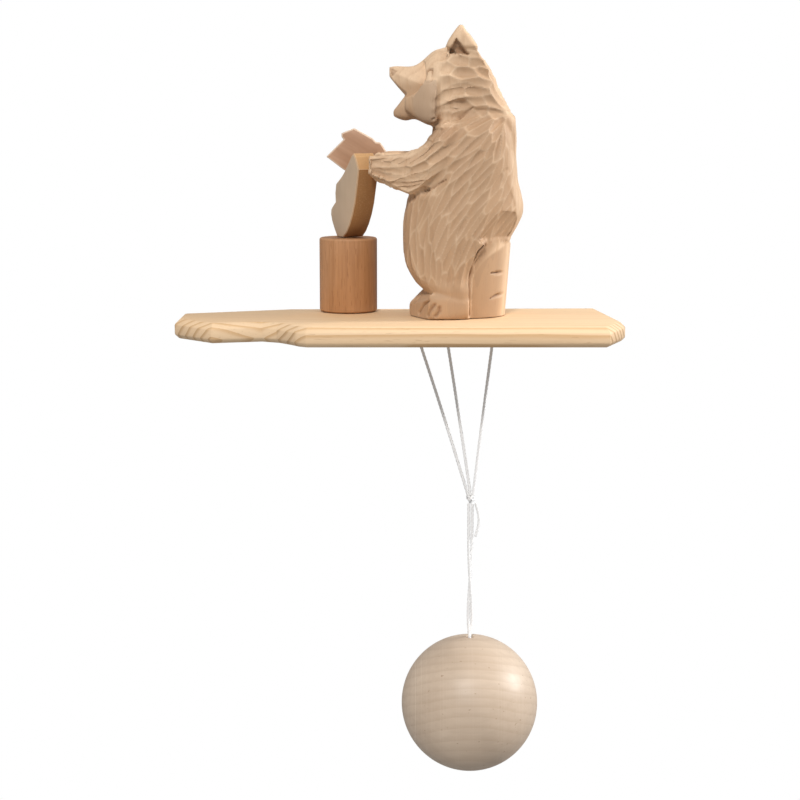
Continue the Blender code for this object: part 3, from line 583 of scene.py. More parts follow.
class Carving:
    """A block being carved: its points in millimetres, moved by each cut."""

    def __init__(self, mesh):
        self.mesh = mesh
        count = len(mesh.vertices)
        self.points = np.empty(count * 3)
        mesh.vertices.foreach_get("co", self.points)
        self.points = self.points.reshape(-1, 3)
        self.marks = {name: np.zeros(count) for name in MARKS}
        self.edges = np.empty(len(mesh.edges) * 2, int)
        mesh.edges.foreach_get("vertices", self.edges)
        self.edges = self.edges.reshape(-1, 2)

    def put_back(self):
        self.mesh.vertices.foreach_set("co", self.points.ravel())
        self.mesh.update()

    def normals(self):
        self.put_back()
        found = np.empty(len(self.points) * 3)
        self.mesh.vertices.foreach_get("normal", found)
        return found.reshape(-1, 3)

    def smooth(self, times, where=None):
        """Evens the skin out, as sanding does."""
        share = 0.5 if where is None else 0.5 * where[:, None]
        a, b = self.edges.T
        near = np.bincount(self.edges.ravel(), minlength=len(self.points))[:, None]
        for _ in range(times):
            total = np.zeros_like(self.points)
            np.add.at(total, a, self.points[b])
            np.add.at(total, b, self.points[a])
            self.points += share * (total / near - self.points)

    def shave(self, place, facing, reach, floor=-9.0, ceiling=200.0):
        """Cuts flat what stands out past a plane, within reach and between two heights."""
        place, facing = np.array(place, float), np.array(facing, float)
        facing /= np.linalg.norm(facing)
        offset = self.points - place
        out = offset @ facing
        cut = (out > 0) & (np.linalg.norm(offset, axis=1) < reach)
        cut &= (self.points[:, 2] > floor) & (self.points[:, 2] < ceiling)
        self.points[cut] -= out[cut, None] * facing
        return cut

    def on_side(self, x, z, side):
        """The skin's point at x, z on the near (-1) or far (+1) side."""
        flat = np.hypot(self.points[:, 0] - x, self.points[:, 2] - z)
        near = np.flatnonzero(flat < 0.8)
        if len(near) == 0:
            near = np.argsort(flat)[:4]
        return self.points[near[np.argmax(side * self.points[near, 1])]]

    def away(self, route):
        """How far each point is from the line through the route, and how far along it, 0 to 1."""
        route = np.array(route, float)
        reached = np.concatenate([[0], np.cumsum(np.linalg.norm(np.diff(route, axis=0), axis=1))])
        nearest = np.full(len(self.points), 1e9)
        place = np.zeros(len(self.points))
        for k, (start, end) in enumerate(zip(route[:-1], route[1:])):
            along = end - start
            share = np.clip(((self.points - start) @ along) / (along @ along), 0, 1)
            far = np.linalg.norm(self.points - start - share[:, None] * along, axis=1)
            better = far < nearest
            nearest[better] = far[better]
            place[better] = (reached[k] + share * (reached[k + 1] - reached[k]))[better]
        return nearest, place / reached[-1]

    def groove(self, route, width, depth, mark=0.8, tapered=False):
        """A V cut along points on the skin, with painted shade in it; a tapered one runs out at both
        ends.
        """
        far, place = self.away(route)
        if tapered:
            width = width * (np.sin(np.pi * place) ** 0.6 + 0.02)
        profile = np.clip(1 - far / width, 0, 1)
        self.points -= (depth * profile)[:, None] * self.normals()
        self.marks["cut"] = np.maximum(self.marks["cut"], mark * profile**1.5)

    def side_line(self, route, side):
        return [self.on_side(x, z, side) for x, z in route]

    def side_groove(self, route, side, width, depth, mark=0.8, tapered=False):
        self.groove(self.side_line(route, side), width, depth, mark, tapered)

    def channel(self, route, width, depth):
        """A long round-bottomed scoop, with painted shade in it and a painted highlight along the
        crest left at each edge.
        """
        far, place = self.away(route)
        far = far / width
        fade = ramp(1 - place, 0.0, 0.35) * ramp(place, -0.1, 0.1)
        trough = fade * np.clip(1 - far**2, 0, 1)
        edge = fade * np.exp(-((far - 1) / 0.14) ** 2)
        self.points -= (depth * trough)[:, None] * self.normals()
        self.marks["ridge_highlight"] = np.maximum(self.marks["ridge_highlight"], edge)
        self.marks["hollow_shade"] = np.maximum(self.marks["hollow_shade"], trough)

    def inside(self, corners, side):
        """How deep inside a three-cornered outline each point of one side lies, in mm."""
        corners = np.array(corners, float)
        middle = corners.mean(axis=0)
        depth = np.full(len(self.points), 1e9)
        for start, end in zip(corners, np.roll(corners, -1, axis=0)):
            across = np.array((end[1] - start[1], start[0] - end[0]))
            across /= np.linalg.norm(across)
            if (middle - start) @ across < 0:
                across = -across
            depth = np.minimum(depth, (self.points[:, [0, 2]] - start) @ across)
        return np.where(side * self.points[:, 1] > 1.0, np.maximum(depth, 0), 0)

    def gouge(self, flow, strength, length, width, depth, seed):
        """Covers the skin with scoops of a curved gouge, each with its own length and width
        from the given fields. Each leaves a shallow trough along the flow, and where two
        troughs meet there is a sharp crest. The crests get a painted highlight, and the
        troughs painted shade."""
        picks = np.random.default_rng(seed)
        normals = self.normals()
        direction = flow(self.points)
        direction -= (direction * normals).sum(1)[:, None] * normals
        direction /= np.linalg.norm(direction, axis=1)[:, None] + 1e-9
        wanted = np.flatnonzero(strength > 0.02)
        chosen = []
        for i in picks.permutation(wanted)[:9000]:
            if chosen:
                d = self.gouge_distance(self.points[i], self.points[chosen], direction[chosen],
                                        normals[chosen], length[chosen], width[chosen])
                if d.min() < picks.uniform(0.7, 1.2):
                    continue
            chosen.append(i)
        first = np.full(len(self.points), 9.0)
        second = np.full(len(self.points), 9.0)
        tone = np.zeros(len(self.points))
        sink = np.zeros(len(self.points))
        for i in chosen:
            reach = 1.7 * max(length[i], width[i])
            close = np.flatnonzero(((self.points - self.points[i]) ** 2).sum(1) < reach**2)
            d = self.gouge_distance(self.points[close], self.points[i], direction[i],
                                    normals[i], length[i] * picks.uniform(0.75, 1.3), width[i])
            better = d < first[close]
            second[close] = np.where(better, first[close], np.minimum(second[close], d))
            first[close] = np.minimum(first[close], d)
            tone[close[better]] = picks.uniform(0, 1)
            sink[close[better]] = picks.uniform(0.7, 1.2)
        trough = 1 - np.clip(first / 0.9, 0, 1.0) ** 2
        ridge_highlight = np.exp(-((second - first) / 0.10) ** 2)
        amount = np.minimum(strength, 1)
        self.points -= (depth * sink * strength * trough)[:, None] * normals
        # Painted highlight along the crests, and painted shade in the troughs.
        self.marks["ridge_highlight"] = np.maximum(self.marks["ridge_highlight"], ridge_highlight * amount)
        self.marks["hollow_shade"] = np.maximum(self.marks["hollow_shade"], trough * amount)
        self.marks["tone"] = tone * amount * 0.4

    @staticmethod
    def gouge_distance(point, spot, direction, normal, length, width):
        offset = point - spot
        along = (offset * direction).sum(-1)
        height = (offset * normal).sum(-1)
        across = np.sqrt(np.maximum((offset**2).sum(-1) - along**2 - height**2, 0))
        along = np.where(along > 0, along / 1.25, along)
        return np.sqrt((along / length) ** 2 + (across / width) ** 2
                       + (height / (1.5 * width)) ** 2)

    def finished(self, name, finish):
        """The carved piece, in metres and in its place on the toy."""
        self.points = self.points * MM + np.array((0, MIDDLE, BASE))
        self.put_back()
        for mark, values in self.marks.items():
            attribute = self.mesh.attributes.new(mark, "FLOAT", "POINT")
            attribute.data.foreach_set("value", values.astype(np.float32))
        self.mesh.name = name
        self.mesh.shade_smooth()
        return add_piece(name, self.mesh, finish)


def stroke_flow(points):
    """The gouge's direction at each point, from the nearest listed strokes."""
    guide = np.array(STROKES, float)
    d2 = ((points[:, None, 0] - guide[:, 0]) ** 2 + (points[:, None, 2] - guide[:, 1]) ** 2)
    weight = 1 / (d2 + 4.0) ** 1.5
    angle = np.radians(guide[:, 2]) * 2
    c = (weight * np.cos(angle)).sum(1)
    s = (weight * np.sin(angle)).sum(1)
    rise = np.arctan2(s, c) / 2
    return np.stack([np.cos(rise), np.zeros(len(points)), np.sin(rise)], axis=1)


def ramp(value, low, high):
    """0 below low, 1 above high, and smooth between them."""
    t = np.clip((value - low) / (high - low), 0, 1)
    return t * t * (3 - 2 * t)


def shape_facets(carving):
    """The broad flats that are cut before the gouge: muzzle, temples, haunches and belly."""
    for side in (-1, 1):
        carving.shave((61.0, side * 4.1, 83.4), (-0.20, side * 0.87, 0.45), 9.0)
        carving.shave((61.0, side * 4.1, 83.4), (-0.45, side * 0.89, -0.11), 8.0, 75.5)
        carving.shave((74.8, side * 10.8, 84.5), (-0.05, side * 1.0, 0.25), 8.0)
        carving.shave((96.6, side * 9.6, 27.2), (0.55, side * 0.75, -0.40), 12.0, 26.4)
        carving.shave((99.0, side * 13.0, 38.0), (0.62, side * 0.78, 0.05), 14.0, 27.0)
        carving.shave((66.5, side * 13.2, 30.0), (-0.80, side * 1.0, 0.05), 20.0, 10.0, 41.0)
        carving.shave((67.6, side * 9.0, 6.4), (-0.72, side * 0.20, 0.66), 8.0, -9.0, 9.2)
        carving.shave((66.0, side * 8.6, 3.0), (-0.90, side * 0.42, 0.05), 9.0, -9.0, 9.0)


def trim_stump(carving):
    """Turns the stump true where the thigh doesn't cover it."""
    x, y, z = carving.points.T
    cut = np.array(LEG_CUT[::-1], float)
    thigh = np.interp(z, cut[:, 1], cut[:, 0])
    radius = STUMP_FOOT + STUMP_FLARE * z / STUMP_HEIGHT
    out = np.hypot(x - STUMP_X, y)
    trim = (x > thigh) & (z < 26.3) & (out > radius)
    share = np.where(trim, radius / np.maximum(out, 1e-6), 1.0)
    carving.points[:, 0] = STUMP_X + (x - STUMP_X) * share
    carving.points[:, 1] = y * share


def carve_head(carving):
    """The face on both sides: eyes, nose, ear hollows, the ruff and the cuts of the neck."""
    for side in (-1, 1):
        carving.side_groove(EYE, side, 0.55, 0.8, 1.0)
        ball = carving.on_side(69.5, 83.2, side)
        near = np.linalg.norm(carving.points - ball, axis=1)
        carving.points[:, 1] += side * 0.5 * np.clip(1 - near / 1.3, 0, 1)
        carving.side_groove(((66.9, 80.9), (68.6, 81.9), (70.4, 82.2)), side, 0.4, 0.4, 0.5)
        carving.side_groove(JAW_CUT, side, 0.9, 1.1, 0.8)
        for cut in NECK_CUTS:
            carving.channel(carving.side_line(cut, side), 2.1, 0.9)
        deep = carving.inside(EAR_HOLLOW, side)
        carving.points[:, 1] -= side * 2.6 * ramp(deep, 0.0, 0.3)
        # Painted shade inside the ear.
        carving.marks["cut"] = np.maximum(carving.marks["cut"], 0.75 * ramp(deep, 0.0, 0.3))
        deep = carving.inside(NOSE, side)
        carving.points[:, 1] -= side * 0.35 * ramp(deep, 0.0, 0.3)
        carving.marks["cut"] = np.maximum(carving.marks["cut"], 0.55 * ramp(deep, 0.05, 0.3))
    x, y, z = carving.points.T
    ruff = ramp(np.abs(y), 8.0, 9.0) * (x > 61) * (x < 72.8) * (z > 67) * (z < 82)
    carving.marks["end_grain"] = np.maximum(carving.marks["end_grain"], 0.8 * ruff)
    # Painted shade under the muzzle, over its lower jaw.
    lip = ramp(-z, -71.5, -69.0) * (x > 57) * (x < 70) * (z > 66)
    carving.marks["cut"] = np.maximum(carving.marks["cut"], 0.5 * lip)


def carve_body(carving):
    """The arm's long channels, the armpit, the thigh's outline on the stump, and the toes."""
    for channel in ARM_CHANNELS:
        carving.channel(carving.side_line(channel, -1), 2.3, 0.8)
    carving.side_groove(ARMPIT_CUT, -1, 0.8, 1.0, 0.9, tapered=True)
    for side in (-1, 1):
        carving.side_groove(LEG_CUT, side, 0.65, 1.2, 1.0)
        for nick in STUMP_NICKS:
            carving.side_groove(nick, side, 0.9, 1.3, 1.0, tapered=True)
        for split_line in TOE_SPLITS:
            carving.side_groove(split_line, side, 0.8, 1.0, 0.8)


def bear_blank():
    """All that comes from the bear's one block of wood, under one skin."""
    bm = bmesh.new()
    add_loft(bm, body_rings(BODY_ROWS))
    for rows in (HEAD_ROWS, JAW_ROWS, NEAR_ARM_ROWS):
        add_loft(bm, limb_rings(rows))
    for side in (-1, 1):
        for rows in (CHEEK_ROWS, EAR_ROWS, FOOT_ROWS):
            add_loft(bm, limb_rings(rows, side))
    stump = [[(STUMP_X + r * math.cos(a), r * math.sin(a), z)
              for a in np.linspace(0, 2 * math.pi, 72, endpoint=False)]
             for r, z in ((13.3, -1.0), (14.3, 12.0), (15.3, 25.4), (14.4, STUMP_HEIGHT))]
    add_loft(bm, stump)
    return Carving(remeshed("bear", bm, 0.44))


def gouge_bear(carving, seat):
    """Gouges the whole bear but its face, its stump and the flat under the moving arm. Gives
    what shade_bear needs: the directions faced before, and how far each point is on the head
    and on the arm."""
    x, y, z = carving.points.T
    normals = carving.normals()
    head = (x > 72.8) * ramp(z, 70.0, 72.0)
    shoulder = ramp(z, 50.0, 60.0) * (z < 72) * (x > 70)
    arm = ramp(-x, -76.0, -70.0) * ramp(z, 42.0, 44.0) * (z < 62)
    strip = ramp(normals[:, 0], 0.5, 0.8) * (z > 26) * (z < 70)
    front = ramp(-normals[:, 0], 0.45, 0.75) * (z > 9) * (z < 44) * (x < 72)
    length = 10.5 - 3.2 * head - 3.0 * shoulder + 3.5 * arm + 5.0 * strip + 3.0 * front
    width = 2.2 + 1.0 * head + 0.2 * shoulder + 0.1 * arm + 1.2 * strip + 0.6 * front
    depth = 0.95 + 0.65 * head + 0.45 * shoulder + 0.50 * arm - 0.50 * strip - 0.25 * front
    on_stump = (np.hypot(x - STUMP_X, y) > 12.4) * (z < 27.5) * (x > 86.0)
    strength = np.ones(len(x))
    strength *= np.where(z > 66, ramp(x, 72.4, 76.0), 1)
    strength *= 1 - ramp(z, 92.0, 94.0)
    strength *= 1 - on_stump
    strength *= ramp(z, 9.0, 14.0)
    strength *= 1 - (x > 63) * (y > seat - 0.5) * (z > 36) * (z < 73)
    carving.gouge(stroke_flow, strength, length, width, depth, 11)
    return normals, head, arm


def shade_bear(carving, normals, head, arm):
    """Paints shade on the sides and under the chin, and a darker painted shade in the throat."""
    x, _, z = carving.points.T
    # Painted shade where the skin faces sideways or to the bear's front, and under the chin.
    side_on = np.maximum(ramp(np.abs(normals[:, 1]), 0.35, 0.75),
                         ramp(-normals[:, 0], 0.3, 0.7) * (z < 66))
    under = ramp(-z, -83.0, -79.5) * (z > 66) * (x < 74)
    plain = np.where(z > 66, ramp(x, 76.0, 82.0), 1) * (1 - ramp(z, 87.0, 91.0))
    painted_shade = side_on * plain * (1 - 0.6 * arm) * (1 - 0.25 * head)
    carving.marks["painted_shade"] = np.maximum(painted_shade, 0.7 * under)
    # Painted shade in the throat, under the chin.
    throat = ramp(-z, -75.0, -71.0) * ramp(z, 58.0, 64.0) * ramp(-x, -82.0, -76.0)
    carving.marks["cut"] = np.maximum(carving.marks["cut"], 0.30 * throat)


def build_bear():
    """The bear, its near arm, its feet and its stump: shaved, gouged, cut and flattened."""
    carving = bear_blank()
    carving.smooth(2)
    shape_facets(carving)
    seat = (ARM_SEAT - MIDDLE) / MM
    shade_bear(carving, *gouge_bear(carving, seat))
    trim_stump(carving)
    carve_head(carving)
    carve_body(carving)
    x, y, z = carving.points.T
    carving.smooth(8, 1.0 * ((z > 25.6) & (z < 28.4) & (x > 89.0)))
    over = (y > seat) & (z > 37.5) & (z < 73)
    carving.points[over, 1] = seat
    cut = carving.shave((48.9, 0, 50), (-1, 0, 0.02), 30)
    carving.marks["end_grain"][cut] = 0.5
    carving.points[:, 2] = np.maximum(carving.points[:, 2], 0.0)
    return carving.finished("carved_bear", paint_carved_linden())


def arm_flow(points):
    """Strokes that follow the moving arm from its shoulder to its paw."""
    rise = np.radians(np.interp(points[:, 0], (52, 62, 72, 80, 90), (-4, 4, 30, 50, 70)))
    return np.stack([np.cos(rise), np.zeros(len(points)), np.sin(rise)], axis=1)


def build_far_arm():
    """The moving arm: sawn from a flat board, then gouged on its outer side and its rims."""
    bm = merged("far_arm")
    bmesh.ops.transform(bm, verts=bm.verts, matrix=Matrix.Scale(1 / MM, 4)
                        @ Matrix.Translation((0, -MIDDLE, -BASE)))
    carving = Carving(remeshed("arm", bm, 0.35))
    low, high = carving.points.min(axis=0), carving.points.max(axis=0)
    carving.smooth(1)
    x, y, z = carving.points.T
    on_boss = np.hypot(x - PIVOT.x / MM, z - (PIVOT.z - BASE) / MM) < 3.2
    on_peg = np.hypot(x - PEG.x / MM, z - (PEG.z - BASE) / MM) < 2.6
    size = np.ones(len(x))
    strength = ramp(y, low[1] + 0.2, low[1] + 1.2) * (1 - on_boss) * (1 - on_peg)
    carving.gouge(arm_flow, strength, 9.0 * size, 2.0 * size, 0.5 * size, 5)
    carving.points = np.clip(carving.points, low, high)
    return carving.finished("carved_far_arm", bpy.data.materials["carved_linden"])


# ---------------------------------------------------------------- sawn and turned pieces

def merged(node):
    """A copy of a CAD node's mesh whose loose triangles are joined up again."""
    bm = bmesh.new()
    bm.from_mesh(bpy.data.objects[node].data)
    bmesh.ops.remove_doubles(bm, verts=bm.verts, dist=1e-6)
    bmesh.ops.dissolve_limit(bm, angle_limit=math.radians(1.0), verts=bm.verts, edges=bm.edges)
    return bm


def mark_faces(bm, name, value):
    layer = bm.faces.layers.float.new(name)
    for face in bm.faces:
        face[layer] = value(face)


def softened(node, width, shortest, marks, turn=20.0, segments=2):
    """A sawn piece with its long edges eased and marked for a painted highlight, and marks that tell
    its kinds of face apart.
    """
    bm = merged(node)
    bm.normal_update()
    for name, value in marks.items():
        mark_faces(bm, name, value)
    layer = bm.faces.layers.float.new("ridge_highlight")
    sharp = [e for e in bm.edges if e.is_manifold and e.calc_length() > shortest
             and e.calc_face_angle(0) > math.radians(turn)]
    eased = bmesh.ops.bevel(bm, geom=sharp, offset=width, segments=segments, affect="EDGES",
                            profile=0.6, clamp_overlap=True)
    for face in eased["faces"]:
        face[layer] = 1.0
    bmesh.ops.triangulate(bm, faces=[f for f in bm.faces if len(f.verts) > 4])
    mesh = mesh_of(node + "_shape", bm)
    mesh.shade_smooth()
    mesh.set_sharp_from_angle(angle=math.radians(30))
    return mesh


def turned(name, profile, count, centre=(0, 0, 0), axis="Z", closed=False):
    """Turns (radius, height) points in metres round an axis; a radius of 0 is a pole."""
    bm = bmesh.new()
    rows = []
    for radius, height in profile:
        spokes = 1 if radius == 0 else count
        rows.append([bm.verts.new((radius * math.cos(2 * math.pi * i / count),
                                   radius * math.sin(2 * math.pi * i / count), height))
                     for i in range(spokes)])
    for lower, upper in zip(rows, rows[1:] + rows[:1] if closed else rows[1:]):
        for i in range(count):
            j = (i + 1) % count
            corners = [lower[i % len(lower)], lower[j % len(lower)],
                       upper[j % len(upper)], upper[i % len(upper)]]
            bm.faces.new(list(dict.fromkeys(corners)))
    if axis == "Y":
        bmesh.ops.rotate(bm, verts=bm.verts, matrix=Matrix.Rotation(-math.pi / 2, 3, "X"))
    bmesh.ops.translate(bm, verts=bm.verts, vec=centre)
    bmesh.ops.recalc_face_normals(bm, faces=bm.faces)
    mesh = mesh_of(name, bm)
    mesh.shade_smooth()
    mesh.set_sharp_from_angle(angle=math.radians(35))
    return mesh


def build_board():
    """The planed board, its edges eased and its end grain marked."""
    marks = {"end_grain": lambda f: 0.9 * min(1.0, max(0.0, abs(f.normal.x) * 1.6 - 0.7))}
    mesh = softened("board", 0.28 * MM, 2.0 * MM, marks, segments=1)
    return add_piece("pine_board", mesh, paint_pine())


def build_block():
    """The turned block, its rims eased and given a painted highlight, and the end grain of its top
    marked.
    """
    marks = {"end_grain": lambda f: 0.5 if f.normal.z > 0.9 else 0.0}
    mesh = softened("block", 0.22 * MM, 0.8 * MM, marks, segments=2)
    wood = paint_turned("red_alder", (0.500, 0.265, 0.130, 1), (0.440, 0.215, 0.092, 1),
                        (0.250, 0.105, 0.040, 1), "Z", (0.030, 0.060, 0.0), 3.1 * MM)
    return add_piece("turned_block", mesh, wood)


def build_shoe():
    """The sawn shoe: a pale sanded face, and sawn sides of dark end grain, with painted shade on them
    and a painted lit copy of them where they face up.
    """
    flat = Vector((math.sin(SHOE_TURN), math.cos(SHOE_TURN), 0))

    def sawn_side(face):
        return 1.0 - ramp(abs(face.normal.dot(flat)), 0.5, 0.9)

    marks = {"side": sawn_side, "top": lambda f: sawn_side(f) * ramp(f.normal.z, 0.1, 0.6)}
    mesh = softened("shoe", 0.14 * MM, 0.5 * MM, marks, turn=35.0, segments=1)
    paint = Paint("shoe_linden")
    tone = paint.noise(paint.object_place((1, 1, 0.5)), 60.0, 3.0)
    face = paint.mixed(tone.band(0.3, 0.7), (0.500, 0.375, 0.262, 1), (0.560, 0.430, 0.310, 1))
    face = paint.mixed((fibres(paint, "Z") - 0.4) * 0.4, face, (0.400, 0.290, 0.190, 1))
    specks = paint.noise(paint.object_place(), 2600.0, 2.0, 0.6)
    # The sawn sides: dark end grain, with painted shade on them.
    side = paint.mixed(tone.band(0.3, 0.7), (0.370, 0.190, 0.075, 1), (0.290, 0.140, 0.052, 1))
    side = paint.mixed(specks.band(0.55, 0.66) * 0.5, side, (0.520, 0.300, 0.140, 1))
    # A lit copy of the sawn sides, painted where they face up.
    top = paint.mixed(specks.band(0.5, 0.62) * 0.5, (0.720, 0.430, 0.200, 1), (0.560, 0.310, 0.140, 1))
    base = paint.mixed(paint.attribute("side"), face, side)
    base = paint.mixed(paint.attribute("top"), base, top)
    # Painted highlight on the eased edges.
    base = paint.mixed(paint.attribute("ridge_highlight") * 0.6, base, (0.760, 0.560, 0.370, 1))
    height = specks * 0.5 + fibres(paint, "Z", 1.4) * 0.5
    paint.finish({"Base Color": base, "Roughness": specks * 0.2 + 0.45,
                  "Normal": paint.bump(height, 0.06 * MM, 0.5), "Specular IOR Level": 0.35})
    return add_piece("sawn_shoe", mesh, paint.material)


def build_hammer():
    """The sawn hammer: brown faces, and a painted highlight on its cut edges."""
    marks = {"pale": lambda f: 1.0 - ramp(abs(f.normal.y), 0.5, 0.9)}
    mesh = softened("hammer", 0.18 * MM, 0.5 * MM, marks, turn=25.0, segments=1)
    paint = Paint("hammer_alder")
    turn = (0, math.radians(32), 0)
    tone = paint.noise(paint.object_place((0.5, 1, 1.6), turn), 150.0, 3.0)
    grain = paint.noise(paint.object_place((60, 900, 900), turn), 1.0, 3.0, 0.6)
    base = paint.mixed(tone.band(0.3, 0.7), (0.560, 0.345, 0.225, 1), (0.470, 0.275, 0.170, 1))
    base = paint.mixed((grain - 0.4) * 0.8, base, (0.350, 0.190, 0.110, 1))
    # Painted highlight on the cut edges.
    base = paint.mixed(paint.attribute("pale") * 0.8, base, (0.760, 0.620, 0.480, 1))
    # Painted highlight on the eased edges.
    base = paint.mixed(paint.attribute("ridge_highlight") * 0.5, base, (0.800, 0.640, 0.490, 1))
    paint.finish({"Base Color": base, "Roughness": grain * 0.2 + 0.42,
                  "Normal": paint.bump(grain, 0.05 * MM, 0.5), "Specular IOR Level": 0.35})
    return add_piece("sawn_hammer", mesh, paint.material)


def build_peg(node, finish, axis="Z"):
    """A cut dowel, slightly domed by the knife at each end."""
    low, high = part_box(node)
    middle = (low + high) / 2
    radius = (high.x - low.x) / 2
    half = (high - low)["XYZ".index(axis)] / 2
    profile = [(0, -half), (radius * 0.55, -half + 0.02 * MM), (radius * 0.88, -half + 0.14 * MM),
               (radius, -half + 0.4 * MM), (radius * 0.985, 0), (radius, half - 0.4 * MM),
               (radius * 0.88, half - 0.14 * MM), (radius * 0.55, half - 0.02 * MM), (0, half)]
    return add_piece(node + "_dowel", turned(node + "_dowel", profile, 32, middle, axis), finish)


def ring_tree():
    """Rings that repeat along a nail's wire, by which it grips the wood."""
    group = bpy.data.node_groups.new("grip_rings", "GeometryNodeTree")
    group.interface.new_socket("Geometry", in_out="OUTPUT", socket_type="NodeSocketGeometry")
    for name, kind in (("Wire Radius", "Float"), ("Ring Thickness", "Float"), ("Start", "Float"),
                       ("Spacing", "Float"), ("Count", "Int"), ("Finish", "Material")):
        group.interface.new_socket(name, in_out="INPUT", socket_type="NodeSocket" + kind)
    tree = Tree(group)

    def given(name):
        return tree.node("NodeGroupInput", out=name)

    line = tree.node("GeometryNodeMeshLine", {"mode": "OFFSET"}, {
        "Count": given("Count"),
        "Start Location": tree.node("ShaderNodeCombineXYZ", None, {"Z": given("Start")}),
        "Offset": tree.node("ShaderNodeCombineXYZ", None, {"Z": given("Spacing")})})
    round_wire = tree.node("GeometryNodeCurvePrimitiveCircle", None,
                           {"Resolution": 32, "Radius": given("Wire Radius")})
    section = tree.node("GeometryNodeCurvePrimitiveCircle", None,
                        {"Resolution": 8, "Radius": given("Ring Thickness")})
    ring = tree.node("GeometryNodeCurveToMesh", None,
                     {"Curve": round_wire, "Profile Curve": section})
    rings = tree.node("GeometryNodeInstanceOnPoints", None, {"Points": line, "Instance": ring})
    rings = tree.node("GeometryNodeRealizeInstances", None, {"Geometry": rings})
    rings = tree.node("GeometryNodeSetMaterial", None,
                      {"Geometry": rings, "Material": given("Finish")})
    tree.fill(group.nodes.new("NodeGroupOutput"), {"Geometry": rings})
    return group


def grown(group, values):
    """The plain mesh that a Geometry Nodes tree makes from the given values."""
    holder = add_piece("holder", bpy.data.meshes.new("holder"))
    modifier = holder.modifiers.new("tree", "NODES")
    modifier.node_group = group
    for item in group.interface.items_tree:
        if item.in_out == "INPUT":
            modifier[item.identifier] = values[item.name]
    bpy.context.view_layer.update()
    seen = holder.evaluated_get(bpy.context.evaluated_depsgraph_get())
    mesh = bpy.data.meshes.new_from_object(seen)
    bpy.data.objects.remove(holder)
    return mesh


def build_nail(node, finish, rings, axis="Z"):
    """A flat-headed wire nail: head, gripping rings under it, shank and ground point."""
    low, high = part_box(node)
    upright = "XYZ".index(axis)
    long = (high - low)[upright]
    head = (high.x - low.x) / 2
    wire = NAIL_WIRE / 2
    thick = 0.8 * MM
    profile = [(0, 0), (head * 0.80, 0), (head * 0.97, 0.12 * MM), (head, 0.3 * MM),
               (head * 0.97, thick * 0.8), (wire * 1.15, thick), (wire * 0.96, thick + 0.1 * MM),
               (wire * 0.96, long - 2.2 * wire), (wire * 0.3, long - 0.1 * MM), (0, long)]
    bm = bmesh.new()
    for mesh in (turned(node + "_wire", profile, 32),
                 grown(rings, {"Wire Radius": wire - 0.07 * MM, "Ring Thickness": 0.07 * MM,
                               "Start": thick + 0.6 * MM, "Spacing": 0.5 * MM, "Count": 5,
                               "Finish": finish})):
        bm.from_mesh(mesh)
    if axis == "Y":
        bmesh.ops.rotate(bm, verts=bm.verts, matrix=Matrix.Rotation(math.pi / 2, 3, "X"))
    start = (low + high) / 2
    start[upright] = high[upright] if axis == "Y" else low[upright]
    bmesh.ops.translate(bm, verts=bm.verts, vec=start)
    bmesh.ops.recalc_face_normals(bm, faces=bm.faces)
    mesh = mesh_of(node + "_nail", bm)
    mesh.shade_smooth()
    mesh.set_sharp_from_angle(angle=math.radians(35))
    return add_piece(node + "_wire", mesh, finish)


def build_ball():
    """The turned ball, bored for its cords, with a seat below for their knot."""
    low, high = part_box("ball")
    middle = (low + high) / 2
    radius = (high.x - low.x) / 2
    bore, seat, deep = 1.6 * MM, 3.2 * MM, 7.0 * MM
    top, foot = math.asin(bore / radius), math.pi - math.asin(seat / radius)
    count = 72
    around = [top + (foot - top) * i / count for i in range(count + 1)]
    profile = [(radius * math.sin(a), radius * math.cos(a)) for a in around]
    ease = 0.12 * MM
    profile[0] = (bore + ease, profile[0][1] - ease * 0.5)
    profile += [(seat, deep - radius), (bore, deep - radius), (bore, radius - 0.4 * MM)]
    mesh = turned("ball_shape", profile, 144, middle, closed=True)
    paint = Paint("pale_birch")
    place = paint.node("ShaderNodeTexCoord", out="Object")
    across = split(paint, place, "X") - middle.x
    rings = paint.noise(paint.object_place((3400, 4, 4)), 1.0, 2.0, 0.6)
    cheek = (0 - across).band(0.66 * radius, 0.76 * radius) * (1 - (0 - across).band(
        0.80 * radius, 0.90 * radius))
    turned_marks = rings.band(0.52, 0.62) * (cheek * 0.8 + 0.10)
    grain = wood_grain(paint, (0.0, 0.030, -0.060), "X", 3.4 * MM, 0.10)
    fine = fibres(paint, "X", 0.7)
    tone = paint.noise(paint.object_place((0.4, 1, 1)), 60.0, 3.0)
    flecks = paint.noise(paint.object_place((420, 1000, 1000)), 1.0, 1.0, 0.4).band(0.735, 0.76)
    base = paint.mixed(tone.band(0.3, 0.7), (0.520, 0.405, 0.305, 1), (0.600, 0.480, 0.370, 1))
    base = paint.mixed(grain.band(0.4, 0.95) * 0.26, base, (0.430, 0.315, 0.220, 1))
    base = paint.mixed((fine - 0.4) * 0.5, base, (0.350, 0.265, 0.190, 1))
    base = paint.mixed(flecks * 0.7, base, (0.330, 0.215, 0.140, 1))
    base = paint.mixed(turned_marks * 0.6, base, (0.800, 0.700, 0.580, 1))
    height = fine * 0.5 + turned_marks * 0.6
    paint.finish({"Base Color": base, "Roughness": fine * 0.16 + 0.37,
                  "Normal": paint.bump(height, 0.05 * MM, 0.4), "Specular IOR Level": 0.45})
    return add_piece("turned_ball", mesh, paint.material)


# ---------------------------------------------------------------- strings and knots

def resampled(route, spacing):
    """Evenly spaced points on a route."""
    route = np.array(route, float)
    reached = np.concatenate([[0], np.cumsum(np.linalg.norm(np.diff(route, axis=0), axis=1))])
    wanted = np.linspace(0, reached[-1], max(3, round(reached[-1] / spacing) + 1))
    return np.stack([np.interp(wanted, reached, route[:, k]) for k in range(3)], axis=1)


